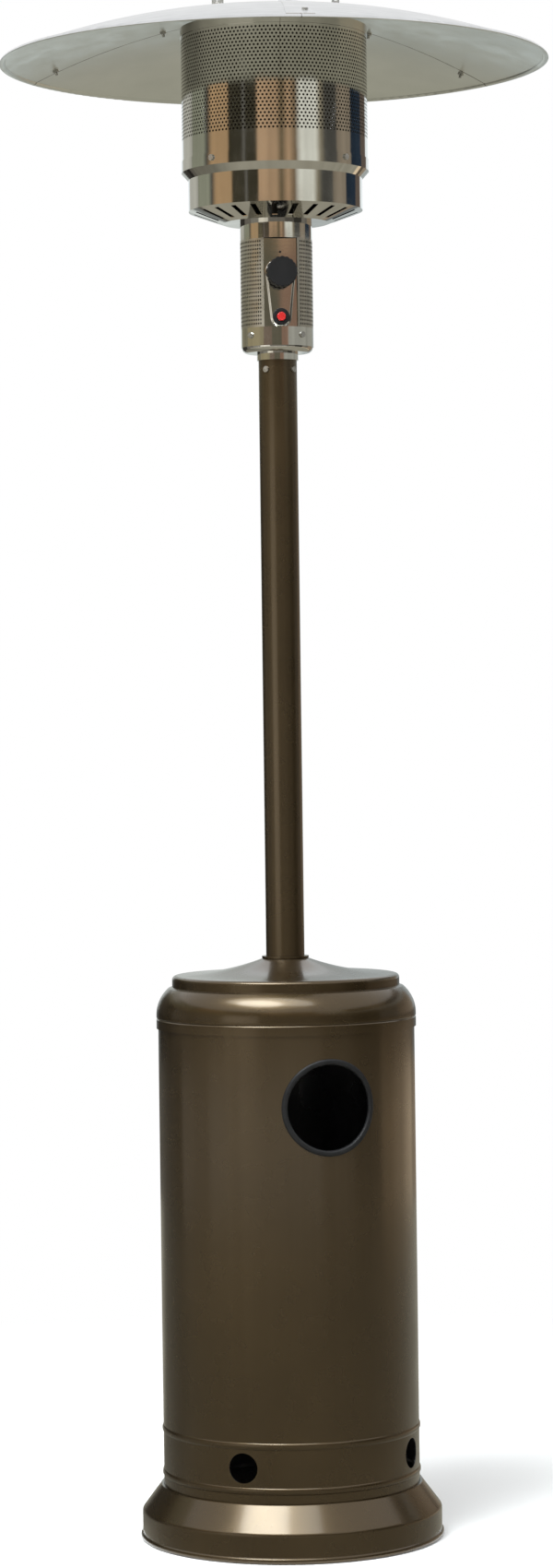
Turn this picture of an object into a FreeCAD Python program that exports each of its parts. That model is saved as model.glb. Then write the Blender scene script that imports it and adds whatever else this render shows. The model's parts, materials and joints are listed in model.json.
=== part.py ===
import FreeCAD
import Part
import Sketcher

import math
import os
import re

# Gas patio heater: a floor base with a bottle bay, a lifting tank housing, a pole, and a head with
# the gas controls, the burner, the perforated emitter and a three-panel reflector.
# Millimetres, +Z up, front towards -Y, origin on the floor under the pole.
# An azimuth is measured in degrees from the front towards +X.

SIZES = {
    # Clearances: turning and sliding fits, pieces at rest on each other, fixed pieces in holes.
    "slip": 0.4,
    "rest": 0.3,
    "fit": 0.2,
    # Floor base, one pressed pan with a well for the gas bottle.
    "base_gauge": 2,
    "foot_bead": 9,
    "foot_bead_round": 5,
    "base_spread": 28.6,
    "skirt_round": 8,
    "flare_round": 4,
    "flare_start": 20,
    "flare_slope": 37,
    "flare_top": 80,
    "lip_wall": 3.5,
    "lip_depth": 10,
    "ledge_width": 12.5,
    "tray_height": 26,
    # Tank housing: rolled sheet with two beads, four vents and a round access opening.
    "housing_radius": 190.5,
    "housing_gauge": 1.2,
    "housing_height": 700,
    "bead_rise": 1.8,
    "bead_width": 10,
    "lower_bead_height": 28,
    "upper_bead_height": 93,
    "vent_radius": 22,
    "vent_height": 61,
    "vent_azimuth": -21,
    "access_radius": 66,
    "access_drop": 118,
    "access_azimuth": 20,
    "trim_width": 4.5,
    "trim_proud": 3,
    "trim_wall": 4,
    # Housing lid, pressed sheet that sits on the upper edge of the housing.
    "lid_over": 2.5,
    "lid_drop": 13,
    "lid_ledge": 2,
    "crease_depth": 1.2,
    "crease_half": 1.6,
    "shoulder_height": 6,
    "shoulder_round": 53,
    "shoulder_rise": 40,
    "shoulder_inset": 18,
    "step_inset": 24,
    "step_foot": 2,
    "step_rise": 18.5,
    "step_round": 6,
    "cone_rise": 24.5,
    "cone_round": 384,
    # Collar that guides the lid on the pole.
    "collar_wall": 4.1,
    "collar_length": 17,
    "collar_flange": 1.8,
    "collar_flange_height": 3,
    # Three flat legs from the tray to the post mount.
    "leg_width": 30,
    "leg_gauge": 5,
    "leg_gap": 6,
    "leg_bend": 9,
    "leg_foot": 42,
    "leg_bolt_inset": 24,
    "leg_drop": 20,
    "leg_first_azimuth": 105,
    "leg_step": 75,
    # Post mount: a flange under the legs' upper runs, with a socket for the pole and a lip under its end.
    "mount_radius": 65,
    "mount_gauge": 5,
    "mount_bolt_circle": 54,
    "socket_wall": 3.1,
    "pole_lip": 1,
    "set_bolt_height": 45,
    "set_bolt_azimuth": 90,
    # Pole.
    "pole_radius": 28.5,
    "pole_wall": 1.5,
    "pole_length": 1000,
    "pole_screw_drop": 14,
    "pole_screw_azimuth": 55,
    # Neck between the pole and the head.
    "neck_over": 2,
    "neck_height": 11,
    "neck_wall": 5.7,
    "spigot_length": 45,
    # Hardware.
    "bolt_radius": 4,
    "bolt_head_radius": 7.5,
    "bolt_head_height": 5,
    "bolt_tail": 3,
    "screw_radius": 2,
    "screw_head_radius": 4.5,
    "screw_head_height": 2.4,
    "screw_length": 6,
    # Control housing under the burner bowl.
    "control_radius": 53.5,
    "control_gauge": 1,
    "control_height": 192,
    "control_round": 8,
    "control_flange": 6,
    "control_screw_height": 24,
    "control_screw_azimuth": -46,
    "cup_height": 32,
    # Flat control panel with its teardrop emboss.
    "panel_azimuth": 8,
    "panel_width": 53,
    "panel_length": 133.5,
    "panel_height": 100.75,
    "panel_gauge": 1,
    "panel_lap": 1.5,
    "emboss_rise": 2,
    "emboss_top_radius": 20.5,
    "emboss_end_radius": 14,
    # Gas valve, its spindle and the control knob.
    "knob_height": 114,
    "knob_radius": 22.5,
    "knob_depth": 20,
    "knob_stand": 5.5,
    "knob_crown": 2,
    "flute_radius": 2.6,
    "flute_count": 18,
    "knob_travel": 4,
    "spindle_radius": 4,
    "spindle_grip": 9,
    "spindle_depth": 14,
    "valve_width": 36,
    "valve_depth": 40,
    "valve_length": 60,
    "arm_margin": 4.5,
    "valve_arm_height": 20,
    "valve_boss_radius": 9,
    "inlet_radius": 8,
    "inlet_bore": 4,
    "inlet_length": 26,
    "inlet_nut_radius": 11,
    "inlet_nut_height": 10,
    # Igniter.
    "igniter_height": 50,
    "button_radius": 6.5,
    "button_rise": 7,
    "button_round": 1.5,
    "button_travel": 5,
    "button_stem_radius": 4,
    "button_stem": 12,
    "bezel_radius": 12.5,
    "bezel_rise": 3,
    "bezel_barrel_radius": 9,
    "bezel_barrel": 9,
    "igniter_radius": 10,
    "igniter_clear": 14,
    # Tilt switch on the control housing's floor.
    "tilt_length": 30,
    "tilt_width": 16,
    "tilt_height": 18,
    "tilt_setback": 3,
    # Burner bowl.
    "bowl_gauge": 1,
    "bowl_floor_radius": 79,
    "bowl_cone_rise": 18,
    "bowl_inset": 8.5,
    "bowl_wall": 46,
    "bowl_step": 11,
    "bowl_band": 17,
    "slot_width": 8,
    "slot_margin": 8,
    "slot_count": 24,
    "screen_screw_azimuth": 49,
    "screen_screw_drop": 7,
    # Burner, pilot and flame sensing.
    "outlet_radius": 5,
    "outlet_bore": 3,
    "injector_drop": 10,
    "injector_radius": 7,
    "injector_height": 14,
    "injector_bore": 1.2,
    "venturi_radius": 18,
    "venturi_wall": 1.5,
    "venturi_length": 90,
    "venturi_flange": 8,
    "burner_radius": 28,
    "burner_height": 48,
    "burner_wall": 2,
    "port_radius": 2.5,
    "port_count": 20,
    "pilot_inset": 6,
    "pilot_spread": 12,
    "pilot_tube_radius": 3,
    "pilot_radius": 5,
    "pilot_height": 20,
    "probe_radius": 2,
    "electrode_radius": 3.5,
    "electrode_collar": 2.5,
    "electrode_collar_height": 4,
    "electrode_tip_radius": 1.2,
    # Emitter screen and its cap.
    "screen_radius": 137.5,
    "screen_gauge": 0.8,
    "screen_height": 211,
    "cap_gauge": 1,
    "cap_drop": 12,
    # Reflector: three sector panels of one shallow dome, lapped and bolted at the seams.
    "dome_radius": 406.5,
    "dome_rise": 75,
    "dome_gauge": 1,
    "dome_eye": 15,
    "rim_depth": 9,
    "rim_drop": 4,
    "rim_round": 6.5,
    "seam_azimuth": 6.4,
    "seam_lap": 3,
    "seam_gap": 0.1,
    "seam_lift": 0.1,
    "seam_end": 14,
    "inner_seam_bolt": 180,
    "outer_seam_inset": 46.5,
    "stud_circle": 100,
    "stud_radius": 3,
    "spacer_radius": 5,
    "spacer_length": 18,
    "washer_radius": 9,
    "washer_gauge": 1.5,
    "wing_hub_radius": 6,
    "wing_hub_height": 8,
    "wing_span": 13,
    "wing_height": 14,
    "wing_gauge": 3,
}

# How many of each repeated piece there are, and the reflector panels' share of the turn in degrees.
PANEL_COUNT = 3
SECTOR = 360 / PANEL_COUNT
SET_BOLT_COUNT = 2
POLE_SCREW_COUNT = 4
VENT_COUNT = 4
CONTROL_SCREW_COUNT = 4
SCREEN_SCREW_COUNT = 4
LEG_NAMES = ("leg_right", "leg_rear", "leg_left")
PANEL_NAMES = ("reflector_panel_right", "reflector_panel_rear", "reflector_panel_left")

# Heights and radii that follow from the driving sizes, as expressions in them.
LIP = "(housing_radius + slip)"
FLARE = f"({LIP} + lip_wall)"
SKIRT = f"({FLARE} + base_spread)"
WELL = "(housing_radius - ledge_width)"
LEDGE = "(flare_top - lip_depth)"
HOUSING_TOP = f"({LEDGE} + housing_height)"
LID_RADIUS = "(housing_radius + lid_over)"
LID_CREASE = f"({HOUSING_TOP} + crease_half)"
SHOULDER = f"({HOUSING_TOP} + shoulder_height)"
STEP = f"({SHOULDER} + shoulder_rise)"
STEP_TOP = f"({STEP} + step_rise)"
LID_TOP = f"({STEP_TOP} + cone_rise)"
LEG_RADIUS = f"({WELL} - leg_gap)"
LEG_TOP = f"({HOUSING_TOP} - leg_drop)"
MOUNT_BASE = f"({LEG_TOP} - leg_gauge - mount_gauge)"
POLE_BASE = f"({MOUNT_BASE} + mount_gauge)"
SOCKET_TOP = f"({LID_TOP} - collar_length)"
POLE_TOP = f"({POLE_BASE} + pole_length)"
POLE_BORE = "(pole_radius - pole_wall)"
HOSE_HOLE = f"({POLE_BORE} - pole_lip)"
POLE_FIT = "(pole_radius + slip)"
SOCKET_RADIUS = f"({POLE_FIT} + socket_wall)"
COLLAR_RADIUS = f"({POLE_FIT} + collar_wall)"
LID_HOLE = f"({COLLAR_RADIUS} + slip)"
SPIGOT_RADIUS = f"({POLE_BORE} - rest)"
NECK_BORE = f"({SPIGOT_RADIUS} - neck_wall)"
CONTROL_BASE = f"({POLE_TOP} + neck_height)"
CONTROL_TOP = f"({CONTROL_BASE} + control_height)"
CONTROL_INNER = "(control_radius - control_gauge)"
CUP_RADIUS = f"({CONTROL_INNER} - fit)"
PANEL_FACE = f"(sqrt({CONTROL_INNER}^2 - (panel_width / 2)^2) - fit)"
PANEL_MID = f"({CONTROL_BASE} + panel_height)"
KNOB_AXIS = f"({CONTROL_BASE} + knob_height)"
IGNITER_AXIS = f"({CONTROL_BASE} + igniter_height)"
VALVE_BASE = f"({KNOB_AXIS} - valve_length / 2)"
VALVE_TOP = f"({KNOB_AXIS} + valve_length / 2)"
VALVE_ARM = f"({CONTROL_INNER} - arm_margin)"
PILOT_OFFSET = f"({VALVE_ARM} - pilot_inset)"
VALVE_BOSS = f"({PANEL_FACE} - panel_gauge - valve_depth / 2)"
BOWL_RADIUS = "(screen_radius - bowl_inset)"
BOWL_INSIDE = f"({CONTROL_TOP} + bowl_gauge)"
BOWL_CONE_TOP = f"({CONTROL_TOP} + bowl_cone_rise)"
BOWL_STEP = f"({BOWL_CONE_TOP} + bowl_wall)"
BOWL_BAND = f"({BOWL_STEP} + bowl_step)"
BOWL_TOP = f"({BOWL_BAND} + bowl_band)"
BAND_INNER = "(screen_radius + rest)"
BAND_OUTER = f"({BAND_INNER} + bowl_gauge)"
SCREEN_BASE = f"({BOWL_BAND} + bowl_gauge)"
SCREEN_TOP = f"({SCREEN_BASE} + screen_height)"
CAP_TOP = f"({SCREEN_TOP} + cap_gauge)"
VENTURI_TOP = f"({BOWL_INSIDE} + venturi_length)"
PORT_HEIGHT = f"({VENTURI_TOP} + burner_height / 2)"
PILOT_BASE = f"({PORT_HEIGHT} - pilot_height / 2)"
INJECTOR_BASE = f"({CONTROL_TOP} - injector_drop)"
DOME_SPHERE = "((dome_radius^2 + dome_rise^2) / (2 * dome_rise))"
SPACER_TOP = f"({CAP_TOP} + spacer_length)"
DOME_SAG = f"({DOME_SPHERE} - sqrt({DOME_SPHERE}^2 - (stud_circle + spacer_radius)^2))"
DOME_APEX = f"({SPACER_TOP} + dome_gauge + {DOME_SAG})"
BEAD_ROUND = "((bead_width^2 / 4 + bead_rise^2) / (2 * bead_rise))"
ACCESS_AXIS = f"({HOUSING_TOP} - access_drop)"
SEAM_BOLTS = ("inner_seam_bolt", "(dome_radius - outer_seam_inset)")
BOLT_HOLE = "(bolt_radius + fit)"
SCREW_HOLE = "(screw_radius + fit)"
STUD_HOLE = "(stud_radius + fit)"
SPINDLE_HOLE = "(spindle_radius + slip)"

doc = FreeCAD.newDocument("patio_heater")
sheet = doc.addObject("Spreadsheet::Sheet", "Sizes")
nodes = []


def fill_sheet():
    """Writes every driving size to the sheet, one row each, with its name as alias."""
    for row, (name, value) in enumerate(SIZES.items(), start=1):
        sheet.set(f"A{row}", name)
        sheet.set(f"B{row}", str(value))
        sheet.setAlias(f"B{row}", name)
    doc.recompute()


def bound(expression):
    """The expression with each size name pointing into the sheet."""
    return re.sub(r"\b[a-z][a-z_]*\b(?!\()", lambda word: "Sizes." + word.group(0), expression)


def size(expression):
    """The present value of an expression in the sheet's sizes."""
    return float(sheet.evalExpression(expression))


def bind(feature, **expressions):
    """Binds properties of a feature to expressions in the sheet's sizes."""
    for name, expression in expressions.items():
        feature.setExpression(name, bound(expression))


def node(feature):
    """Keeps a finished sub-part for the export."""
    nodes.append(feature)
    return feature


def outward(azimuth):
    """Unit vector from the pole's axis towards an azimuth."""
    angle = math.radians(azimuth)
    return FreeCAD.Vector(math.sin(angle), -math.cos(angle), 0)


def around(azimuth):
    """Turns a piece drawn towards +X to an azimuth."""
    return FreeCAD.Placement(FreeCAD.Vector(), FreeCAD.Rotation(FreeCAD.Vector(0, 0, 1), azimuth - 90))


def facing(azimuth, distance, height):
    """Frame with +Z pointing outward at an azimuth, +Y up, and its origin at a distance and height."""
    tip = FreeCAD.Rotation(FreeCAD.Vector(1, 0, 0), 90)
    turn = FreeCAD.Rotation(FreeCAD.Vector(0, 0, 1), azimuth)
    base = outward(azimuth) * distance + FreeCAD.Vector(0, 0, height)
    return FreeCAD.Placement(base, turn * tip)


def standing(azimuth, distance, height):
    """Upright frame at an azimuth, a distance from the axis and a height."""
    turn = FreeCAD.Rotation(FreeCAD.Vector(0, 0, 1), azimuth)
    return FreeCAD.Placement(outward(azimuth) * distance + FreeCAD.Vector(0, 0, height), turn)


def hanging(azimuth, distance, height):
    """Frame with +Z pointing down at an azimuth, a distance from the axis and a height."""
    flip = FreeCAD.Placement(FreeCAD.Vector(), FreeCAD.Rotation(FreeCAD.Vector(1, 0, 0), 180))
    return standing(azimuth, distance, height) * flip


def attach(sketch, body, role, turn=0):
    """Lays a sketch on one of its body's origin planes, turned about the sketch's upright axis."""
    plane = next(item for item in body.Origin.OriginFeatures if item.Role == role)
    sketch.AttachmentSupport = [(plane, "")]
    sketch.MapMode = "FlatFace"
    tilt = FreeCAD.Rotation(FreeCAD.Vector(0, 1, 0), turn)
    sketch.AttachmentOffset = FreeCAD.Placement(FreeCAD.Vector(), tilt)


def arc_between(start, end, radius, side):
    """Shorter arc between two points with its centre on the left or right of the way there."""
    chord = end - start
    left = FreeCAD.Vector(-chord.y, chord.x, 0).normalize()
    reach = math.sqrt(radius ** 2 - (chord.Length / 2) ** 2)
    centre = (start + end) * 0.5 + left * (reach if side == "left" else -reach)
    circle = Part.Circle(centre, FreeCAD.Vector(0, 0, 1), radius)
    first, last = (start, end) if side == "left" else (end, start)
    return Part.ArcOfCircle(circle, circle.parameter(first), circle.parameter(last))


def draw_outline(sketch, outline):
    """Draws a closed outline of bound points; a point may add (side, radius) for an arc that ends there."""
    corners = [FreeCAD.Vector(size(x), size(y), 0) for x, y, *_ in outline]
    ends = []
    for index, (_, _, *arc) in enumerate(outline):
        start, end = corners[index - 1], corners[index]
        if arc:
            side, radius = arc
            sketch.addGeometry(arc_between(start, end, size(radius), side))
            ends.append((1, 2) if side == "left" else (2, 1))
        else:
            sketch.addGeometry(Part.LineSegment(start, end))
            ends.append((1, 2))
    for index, (x, y, *arc) in enumerate(outline):
        following = (index + 1) % len(outline)
        tip = ends[index][1]
        sketch.addConstraint(Sketcher.Constraint("Coincident", index, tip, following, ends[following][0]))
        constrain(sketch, ("DistanceX", -1, 1, index, tip), x)
        constrain(sketch, ("DistanceY", -1, 1, index, tip), y)
        if arc:
            constrain(sketch, ("Radius", index), arc[1])


def constrain(sketch, terms, expression):
    """Adds a dimension to a sketch and binds it to an expression."""
    number = sketch.addConstraint(Sketcher.Constraint(*terms, size(expression)))
    sketch.setExpression(f"Constraints[{number}]", bound(expression))


def draw_circle(sketch, x, y, radius):
    """Draws a bound circle."""
    centre = FreeCAD.Vector(size(x), size(y), 0)
    number = sketch.addGeometry(Part.Circle(centre, FreeCAD.Vector(0, 0, 1), size(radius)))
    constrain(sketch, ("DistanceX", -1, 1, number, 3), x)
    constrain(sketch, ("DistanceY", -1, 1, number, 3), y)
    constrain(sketch, ("Radius", number), radius)


def rectangle(left, right, bottom, top):
    """Outline of an upright rectangle."""
    return [(left, bottom), (right, bottom), (right, top), (left, top)]


def new_body(label):
    return doc.addObject("PartDesign::Body", label)


def new_sketch(body, role, turn=0):
    sketch = body.newObject("Sketcher::SketchObject", f"{body.Label}_sketch")
    attach(sketch, body, role, turn)
    return sketch


def revolve(body, outline, start=0, angle="360"):
    """Turns an outline of radii and heights about the body's upright axis."""
    sketch = new_sketch(body, "XZ_Plane", start)
    draw_outline(sketch, outline)
    feature = body.newObject("PartDesign::Revolution", f"{body.Label}_turn")
    feature.Profile = sketch
    feature.ReferenceAxis = (sketch, ["V_Axis"])
    bind(feature, Angle=angle)
    body.Tip = feature
    return feature


def turned(label, outline, placement=None):
    """A body turned about its upright axis from a closed outline."""
    body = new_body(label)
    revolve(body, outline)
    if placement:
        body.Placement = placement
    return body


def pad(body, sketch, length, midplane=False):
    feature = body.newObject("PartDesign::Pad", f"{body.Label}_pad")
    feature.Profile = sketch
    feature.SideType = "Symmetric" if midplane else "One side"
    bind(feature, Length=length)
    body.Tip = feature
    return feature


def pocket_up(body, sketch):
    """Cuts a sketch on the ground plane upward through everything."""
    feature = body.newObject("PartDesign::Pocket", f"{body.Label}_cut")
    feature.Profile = sketch
    feature.Type = "ThroughAll"
    feature.Reversed = True
    body.Tip = feature
    return feature


def repeat_round(body, feature, count):
    """Repeats a feature evenly about the body's upright axis."""
    axis = next(item for item in body.Origin.OriginFeatures if item.Role == "Z_Axis")
    pattern = body.newObject("PartDesign::PolarPattern", f"{body.Label}_round")
    pattern.Originals = [feature]
    pattern.Axis = (axis, [""])
    pattern.Angle = 360
    bind(pattern, Occurrences=count)
    body.Tip = pattern
    return pattern


def cylinder(label, radius, height, placement):
    solid = doc.addObject("Part::Cylinder", label)
    bind(solid, Radius=radius, Height=height)
    solid.Placement = placement
    return solid


def hexagon(label, radius, height, placement):
    solid = doc.addObject("Part::Prism", label)
    solid.Polygon = 6
    bind(solid, Circumradius=radius, Height=height)
    solid.Placement = placement
    return solid


def block(label, length, width, height, placement):
    """A box centred on its frame's upright axis."""
    solid = doc.addObject("Part::Box", label)
    bind(solid, Length=length, Width=width, Height=height)
    corner = FreeCAD.Vector(-size(length) / 2, -size(width) / 2, 0)
    solid.Placement = placement * FreeCAD.Placement(corner, FreeCAD.Rotation())
    return solid


def raised(placement, height):
    """The same frame, moved along its own +Z."""
    return placement * FreeCAD.Placement(FreeCAD.Vector(0, 0, size(height)), FreeCAD.Rotation())


def fused(label, solids):
    union = doc.addObject("Part::MultiFuse", label)
    union.Shapes = solids
    return union


def grouped(label, solids):
    group = doc.addObject("Part::Compound", label)
    group.Links = solids
    return group


def cut(label, base, tools):
    """Takes tools, which don't meet each other, out of a base."""
    base.Label = f"{label}_blank"
    result = doc.addObject("Part::Cut", label)
    result.Label = label
    result.Base = base
    result.Tool = tools[0] if len(tools) == 1 else grouped(f"{label}_tools", tools)
    return result


def bored(label, base, bores):
    """Cuts round holes, each a radius, a length and a frame whose +Z is the hole's axis."""
    return cut(label, base, [cylinder(f"{label}_bore", *bore) for bore in bores])


def fasteners(label, places, pieces):
    """One fastener at each place: a stack of solids, each a maker, a radius, a start and a length."""
    copies = []
    for place in places:
        solids = []
        for maker, radius, start, length in pieces:
            solids.append(maker(f"{label}_piece", radius, length, raised(place, start)))
        copies.append(fused(f"{label}_copy", solids))
    return node(grouped(label, copies))


def nuts(label, places, radius, height, bore):
    """A hexagon nut at each place, resting on the frame's ground plane."""
    copies = []
    for place in places:
        blank = hexagon(f"{label}_hexagon", radius, height, place)
        copies.append(cut(f"{label}_copy", blank, [cylinder(f"{label}_thread", bore, height, place)]))
    return node(grouped(label, copies))


# A pan-head screw, standing out of the surface that its head rests on.
SCREW = (
    (cylinder, "screw_head_radius", "0", "screw_head_height"),
    (cylinder, "screw_radius", "-screw_length", "screw_length"),
)


def leg_places(frame, distance, height):
    """A frame at each leg's azimuth, a distance from the axis and a height."""
    places = []
    for number in range(len(LEG_NAMES)):
        azimuth = size("leg_first_azimuth") + number * size("leg_step")
        places.append(frame(azimuth, size(distance), size(height)))
    return places


def round_places(frame, first, count, distance, height):
    """Evenly spaced frames round the axis, starting at an azimuth."""
    step = 360 / count
    return [frame(size(first) + number * step, size(distance), size(height)) for number in range(count)]


def beside_valve(across, back, height):
    """Upright frame beside the valve: a way to the right of the knob's axis and a way behind the pole's."""
    centre = standing(size("panel_azimuth"), 0, size(height))
    return centre * FreeCAD.Placement(FreeCAD.Vector(size(across), size(back), 0), FreeCAD.Rotation())


def dome_height(radius, lift="0"):
    """Height of the dome's upper surface, or of one a lift above it, at a radius."""
    return f"({DOME_APEX} - {DOME_SPHERE} + sqrt(({DOME_SPHERE} + {lift})^2 - ({radius})^2))"


def on_dome(radius, azimuth, lift):
    """Frame standing square on the dome, a lift above its upper surface."""
    slope = math.degrees(math.asin(size(radius) / size(DOME_SPHERE)))
    tilt = FreeCAD.Placement(FreeCAD.Vector(), FreeCAD.Rotation(FreeCAD.Vector(1, 0, 0), slope))
    return raised(standing(azimuth, size(radius), size(dome_height(radius))) * tilt, lift)


def seam_places(lift):
    """Frames of the seam bolts, two on each seam."""
    places = []
    for number in range(PANEL_COUNT):
        azimuth = size("seam_azimuth + seam_lap / 2") + number * SECTOR
        places += [on_dome(radius, azimuth, lift) for radius in SEAM_BOLTS]
    return places


def stud_places(height):
    """Frames of the studs, one in the middle of each reflector panel."""
    return round_places(standing, f"seam_azimuth + {SECTOR} / 2", PANEL_COUNT, "stud_circle", height)


def make_base_plate():
    """Pressed pan: rolled foot, skirt, flare up to the housing's lip, ledge and bottle well."""
    flare = f"({FLARE} + flare_round * (cos(flare_start) - cos(flare_slope)))"
    flare_end = "(flare_top - flare_round * (sin(flare_slope) - sin(flare_start)))"
    shoulder = f"({SKIRT} - skirt_round * (1 - cos(flare_slope)))"
    shoulder_end = f"({flare_end} - ({shoulder} - {flare}) / tan(flare_slope))"
    skirt_top = f"({shoulder_end} - skirt_round * sin(flare_slope))"
    inward = "base_gauge * cos(flare_slope)"
    downward = "base_gauge * sin(flare_slope)"
    underside = f"({LEDGE} - base_gauge)"
    flare_foot = f"({flare} - {inward} + ({flare_end} - {downward} - {underside}) * tan(flare_slope))"
    blank = turned("base_plate", [
        ("0", "tray_height"),
        (WELL, "tray_height"),
        (WELL, LEDGE),
        (LIP, LEDGE),
        (LIP, "flare_top"),
        (FLARE, "flare_top"),
        (flare, flare_end, "left", "flare_round"),
        (shoulder, shoulder_end),
        (SKIRT, skirt_top, "right", "skirt_round"),
        (SKIRT, "foot_bead"),
        (SKIRT, "0", "right", "foot_bead_round"),
        (f"{SKIRT} - base_gauge", "0"),
        (f"{SKIRT} - base_gauge", skirt_top),
        (f"{shoulder} - {inward}", f"{shoulder_end} - {downward}", "left", "skirt_round - base_gauge"),
        (flare_foot, underside),
        (f"{WELL} + base_gauge", underside),
        (f"{WELL} + base_gauge", "tray_height - base_gauge"),
        ("0", "tray_height - base_gauge"),
    ])
    places = leg_places(hanging, f"{LEG_RADIUS} - leg_bolt_inset", "tray_height")
    node(bored("base_plate", blank, [(BOLT_HOLE, "base_gauge", place) for place in places]))


def make_legs():
    """Flat bars: a foot on the tray, an upright and an upper run on the post mount."""
    inner_bend = "leg_bend - leg_gauge"
    outline = [
        (f"{LEG_RADIUS} - leg_foot", "tray_height"),
        (f"{LEG_RADIUS} - leg_bend", "tray_height"),
        (LEG_RADIUS, "tray_height + leg_bend", "left", "leg_bend"),
        (LEG_RADIUS, f"{LEG_TOP} - leg_bend"),
        (f"{LEG_RADIUS} - leg_bend", LEG_TOP, "left", "leg_bend"),
        (f"{SOCKET_RADIUS} + leg_gauge", LEG_TOP),
        (f"{SOCKET_RADIUS} + leg_gauge", f"{LEG_TOP} - leg_gauge"),
        (f"{LEG_RADIUS} - leg_bend", f"{LEG_TOP} - leg_gauge"),
        (f"{LEG_RADIUS} - leg_gauge", f"{LEG_TOP} - leg_bend", "right", inner_bend),
        (f"{LEG_RADIUS} - leg_gauge", "tray_height + leg_bend"),
        (f"{LEG_RADIUS} - leg_bend", "tray_height + leg_gauge", "right", inner_bend),
        (f"{LEG_RADIUS} - leg_foot", "tray_height + leg_gauge"),
    ]
    feet = leg_places(standing, f"{LEG_RADIUS} - leg_bolt_inset", "tray_height")
    heads = leg_places(standing, "mount_bolt_circle", f"{LEG_TOP} - leg_gauge")
    for number, label in enumerate(LEG_NAMES):
        body = new_body(label)
        sketch = new_sketch(body, "XZ_Plane")
        draw_outline(sketch, outline)
        pad(body, sketch, "leg_width", midplane=True)
        body.Placement = around(size("leg_first_azimuth") + number * size("leg_step"))
        bores = [(BOLT_HOLE, "leg_gauge", place) for place in (feet[number], heads[number])]
        node(bored(label, body, bores))


def make_leg_bolts():
    """Hexagon bolts and nuts at the legs' feet and upper ends."""
    joints = (
        ("leg_foot", f"{LEG_RADIUS} - leg_bolt_inset", "tray_height", "base_gauge"),
        ("leg_top", "mount_bolt_circle", f"({LEG_TOP} - leg_gauge)", "mount_gauge"),
    )
    for label, distance, seam, under in joints:
        shank = f"(leg_gauge + {under} + bolt_head_height + bolt_tail)"
        fasteners(f"{label}_bolts", leg_places(standing, distance, f"{seam} + leg_gauge"), [
            (hexagon, "bolt_head_radius", "0", "bolt_head_height"),
            (cylinder, "bolt_radius", f"-{shank}", shank),
        ])
        places = leg_places(hanging, distance, f"{seam} - {under}")
        nuts(f"{label}_nuts", places, "bolt_head_radius", "bolt_head_height", BOLT_HOLE)


def set_bolt_places(distance):
    """Frames of the two bolts that hold the pole in its socket."""
    return round_places(facing, "set_bolt_azimuth", SET_BOLT_COUNT, distance, f"{POLE_BASE} + set_bolt_height")


def make_post_mount():
    """Flange with a hose hole and the pole's socket, and the two bolts through its wall."""
    blank = turned("post_mount", [
        (HOSE_HOLE, MOUNT_BASE),
        ("mount_radius", MOUNT_BASE),
        ("mount_radius", POLE_BASE),
        (SOCKET_RADIUS, POLE_BASE),
        (SOCKET_RADIUS, SOCKET_TOP),
        (POLE_FIT, SOCKET_TOP),
        (POLE_FIT, POLE_BASE),
        (HOSE_HOLE, POLE_BASE),
    ])
    leg_bolts = leg_places(standing, "mount_bolt_circle", MOUNT_BASE)
    bores = [(BOLT_HOLE, "mount_gauge", place) for place in leg_bolts]
    bores += [(BOLT_HOLE, "pole_radius", place) for place in set_bolt_places("pole_radius")]
    node(bored("post_mount", blank, bores))
    shank = "(socket_wall + slip + pole_wall + bolt_tail)"
    fasteners("post_set_bolts", set_bolt_places(SOCKET_RADIUS), [
        (hexagon, "bolt_head_radius", "0", "bolt_head_height"),
        (cylinder, "bolt_radius", f"-{shank}", shank),
    ])


def pole_screw_places(distance):
    """Frames of the four screws that hold the head on the pole."""
    height = f"{POLE_TOP} - pole_screw_drop"
    return round_places(facing, "pole_screw_azimuth", POLE_SCREW_COUNT, distance, height)


def make_pole():
    """Pole, the neck that plugs into its upper end, and the screws between them."""
    start = "pole_radius / 2 + pole_wall"
    depth = "pole_radius / 2"
    screw_holes = [(SCREW_HOLE, depth, place) for place in pole_screw_places(start)]
    bolt_holes = [(BOLT_HOLE, depth, place) for place in set_bolt_places(start)]
    blank = turned("pole", rectangle(POLE_BORE, "pole_radius", POLE_BASE, POLE_TOP))
    node(bored("pole", blank, screw_holes + bolt_holes))
    neck = turned("head_neck", [
        (NECK_BORE, f"{POLE_TOP} - spigot_length"),
        (SPIGOT_RADIUS, f"{POLE_TOP} - spigot_length"),
        (SPIGOT_RADIUS, POLE_TOP),
        ("pole_radius + neck_over", POLE_TOP),
        ("pole_radius + neck_over", CONTROL_BASE),
        (NECK_BORE, CONTROL_BASE),
    ])
    node(bored("head_neck", neck, screw_holes))
    fasteners("pole_top_screws", pole_screw_places("pole_radius"), SCREW)


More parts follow.
